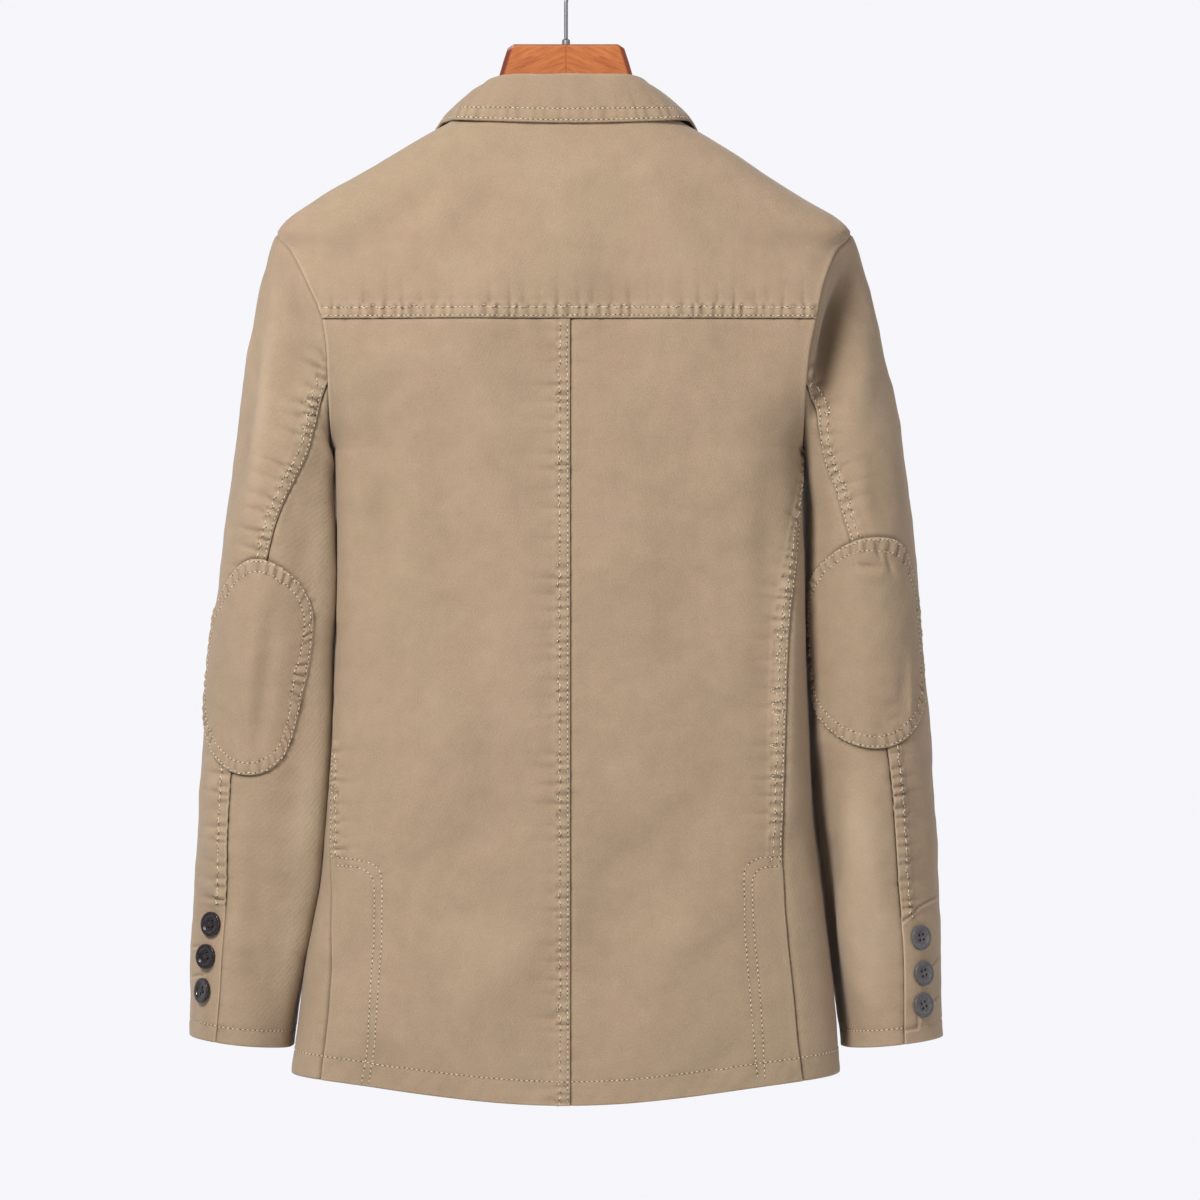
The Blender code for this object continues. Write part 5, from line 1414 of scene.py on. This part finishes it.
first, second = twin["rows"]
for row in (first, second):
    sewRow("yoke", ["backYoke"], yokeLine, -row, (1.5, 1.5))
    sewRow("backs", ["backLeft"], centreLine, row, (2.0, 1.0))
for side, word in sideWords.items():
    above = sideLines[side][sideLines[side][:, 2] > ventTop]
    if side < 0:
        above = above[above[:, 2] < leftRowsTop]
    for row in (first, second):
        sewRow("backs", ["back" + word], above, side * row, (3.0, 0.0))
    for line in ventLines[side]:
        sewRow("backs", ["back" + word], line)
hemAround = np.linspace(-2.0 + 0.24, 2.0 - 0.24, 700)
bodyNames = [part + word for part in ("back", "side", "front") for word in sideWords.values()]
sewRow("backs", bodyNames, bodyFace(hemAround, hem + hemAllowance)[0])
for side, word in sideWords.items():
    edgeLevels = np.linspace(-522, hem + 4, 160)
    sewRow("fronts", ["front" + word], bodyFace(frontEdge(side, edgeLevels), edgeLevels)[0], -side * 7.0)
for side, word in sideWords.items():
    top, under = "topSleeve" + word, "underSleeve" + word
    seam = sleeveSeamLines[side][sleeveSeamLines[side][:, 2] > cuffVent[side]]
    shape = patchShapes[side]
    sewRow("sleeves", [top], seam[seam[:, 2] > shape["level"]], -side * first, (4.0, 2.0))
    sewRow("sleeves", [top], seam, -side * second, (4.0, 2.0))
    ring = sleeveFace(side, np.linspace(-180, 180, 300), cuff + cuffHem)[0]
    sewRow("cuffs", [top, under] if side < 0 else [under], ring)
    reach = np.linalg.norm(shape["round"], axis=1, keepdims=True)
    for row in patchLook["rows"]:
        flat = shape["round"] * (1.0 - row / reach)
        flat = np.concatenate((flat, flat[:1]))
        turn, level = shape["turn"] + np.degrees(flat[:, 0] / armRadius), shape["level"] + flat[:, 1]
        sewRow("patches", ["patch" + word], sleeveFace(side, turn, level)[0])
for row in collar["rows"]:
    line = [pointsAt(-row, -lengths, station) for lengths, station in zip(collarFromEdge, collarPoints)]
    sewRow("collar", ["collar"], np.array(line), trim=(3.0, 3.0))
print("rows laid out")

stitching = plainThread("pale topstitching thread", thread["color"])
# painted shade: a dark flat disc at each needle hole
shadows, shader = newMaterial("dark needle holes")
setUp(shader, {"Base Color": linear(thread["holeShadeColor"]), "Roughness": 0.95})
size = (thread["length"], thread["width"], thread["height"])
for group, rows in sewn.items():
    centres, ways, outs = (np.concatenate([row[part] for row in rows]) for part in range(3))
    joinCopies(group + "Stitches", centres, ways, outs, size, stitching, size[2] / 2 - thread["sunk"])
    holes = centres + ways * thread["pitch"] / 2
    joinCopies(group + "NeedleHoleShade", holes, ways, outs, thread["hole"], shadows, 0.07, flat=True)
print("stitches sewn")


# what each piece is to the solids
madeOf = {      # piece: the solid it stands for, its finish and what carries it
    "backYoke": ("yoke", "cloth", "hanger_wood"),
    "backLeft": ("back_left", "cloth", "backYoke"),
    "backRight": ("back_right", "cloth", "backYoke"),
    "sideLeft": ("side_left", "cloth", "backLeft"),
    "sideRight": ("side_right", "cloth", "backRight"),
    "frontLeft": ("front_left", "cloth", "hanger_wood"),
    "frontRight": ("front_right", "cloth", "hanger_wood"),
    "lapelLeft": ("lapel_left", "cloth", "frontLeft"),
    "lapelRight": ("lapel_right", "cloth", "frontRight"),
    "collar": ("collar", "cloth", "backYoke"),
    "topSleeveLeft": ("topsleeve_left", "cloth", "backYoke"),
    "topSleeveRight": ("topsleeve_right", "cloth", "backYoke"),
    "underSleeveLeft": ("undersleeve_left", "cloth", "sideLeft"),
    "underSleeveRight": ("undersleeve_right", "cloth", "sideRight"),
    "patchLeft": ("patch_left", "patch", "topSleeveLeft"),
    "patchRight": ("patch_right", "patch", "topSleeveRight"),
}
for name, (node, slot, carrier) in madeOf.items():
    piece = pieces[name]["object"]
    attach(piece, "root")
    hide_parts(node)


# stage, light and camera
studio = {
    "floorZ": -1.62, "floorSize": 4.2, "backdropLight": 0.96, "roomLight": 0.3,
    "keyPower": 88.0, "keySize": 0.9, "keyPlace": (-1.25, -1.85, 1.1),
    "fillPower": 30.0, "fillSize": 1.6, "fillPlace": (2.3, -2.7, 0.3),
}

bpy.ops.mesh.primitive_plane_add(size=studio["floorSize"], location=(0, 0, studio["floorZ"]))
floor = bpy.context.object
floor.name = "studioFloor"
paint, shader = newMaterial("pale studio floor")
setUp(shader, {"Base Color": linear("#E9E9EC"), "Roughness": 0.7})
floor.data.materials.append(paint)

world = bpy.data.worlds.new("studio")
bpy.context.scene.world = world
world.use_nodes = True
backdrop = world.node_tree.nodes["Background"]      # a pale backdrop and a dimmer room before it
way = addNode(world, "TexCoord", gives="Generated")
depth = addNode(world, "SeparateXYZ", {"Vector": way}, "Y")
glow = {"From Min": -0.2, "From Max": 0.55, "To Min": studio["roomLight"], "To Max": studio["backdropLight"]}
glow = addNode(world, "MapRange", {**glow, "Value": depth})
setUp(backdrop, {"Color": linear("#FBFBFF"), "Strength": glow})


def softLight(name, place, power, size, target):
    bpy.ops.object.light_add(type="AREA", location=place)
    lamp = bpy.context.object
    lamp.name = name
    lamp.data.energy = power
    lamp.data.shape = "DISK"
    lamp.data.size = size
    lamp.rotation_euler = (Vector(target) - Vector(place)).to_track_quat("-Z", "Y").to_euler()
    return lamp


softLight("keyLight", studio["keyPlace"], studio["keyPower"], studio["keySize"], (0, 0, -0.45))
softLight("fillLight", studio["fillPlace"], studio["fillPower"], studio["fillSize"], (0, 0, -0.45))
bpy.context.scene.view_settings.view_transform = "Standard"

bpy.ops.object.camera_add(location=(photo["cameraX"] * mm, -photo["away"] * mm, photo["cameraZ"] * mm),
                          rotation=(math.radians(90), 0, 0))
camera = bpy.context.object
camera.data.sensor_width = 36.0
camera.data.lens = 36.0 * photo["away"] / (1200 * photo["mmPerPixel"])
bpy.context.scene.camera = camera
print("studio ready")
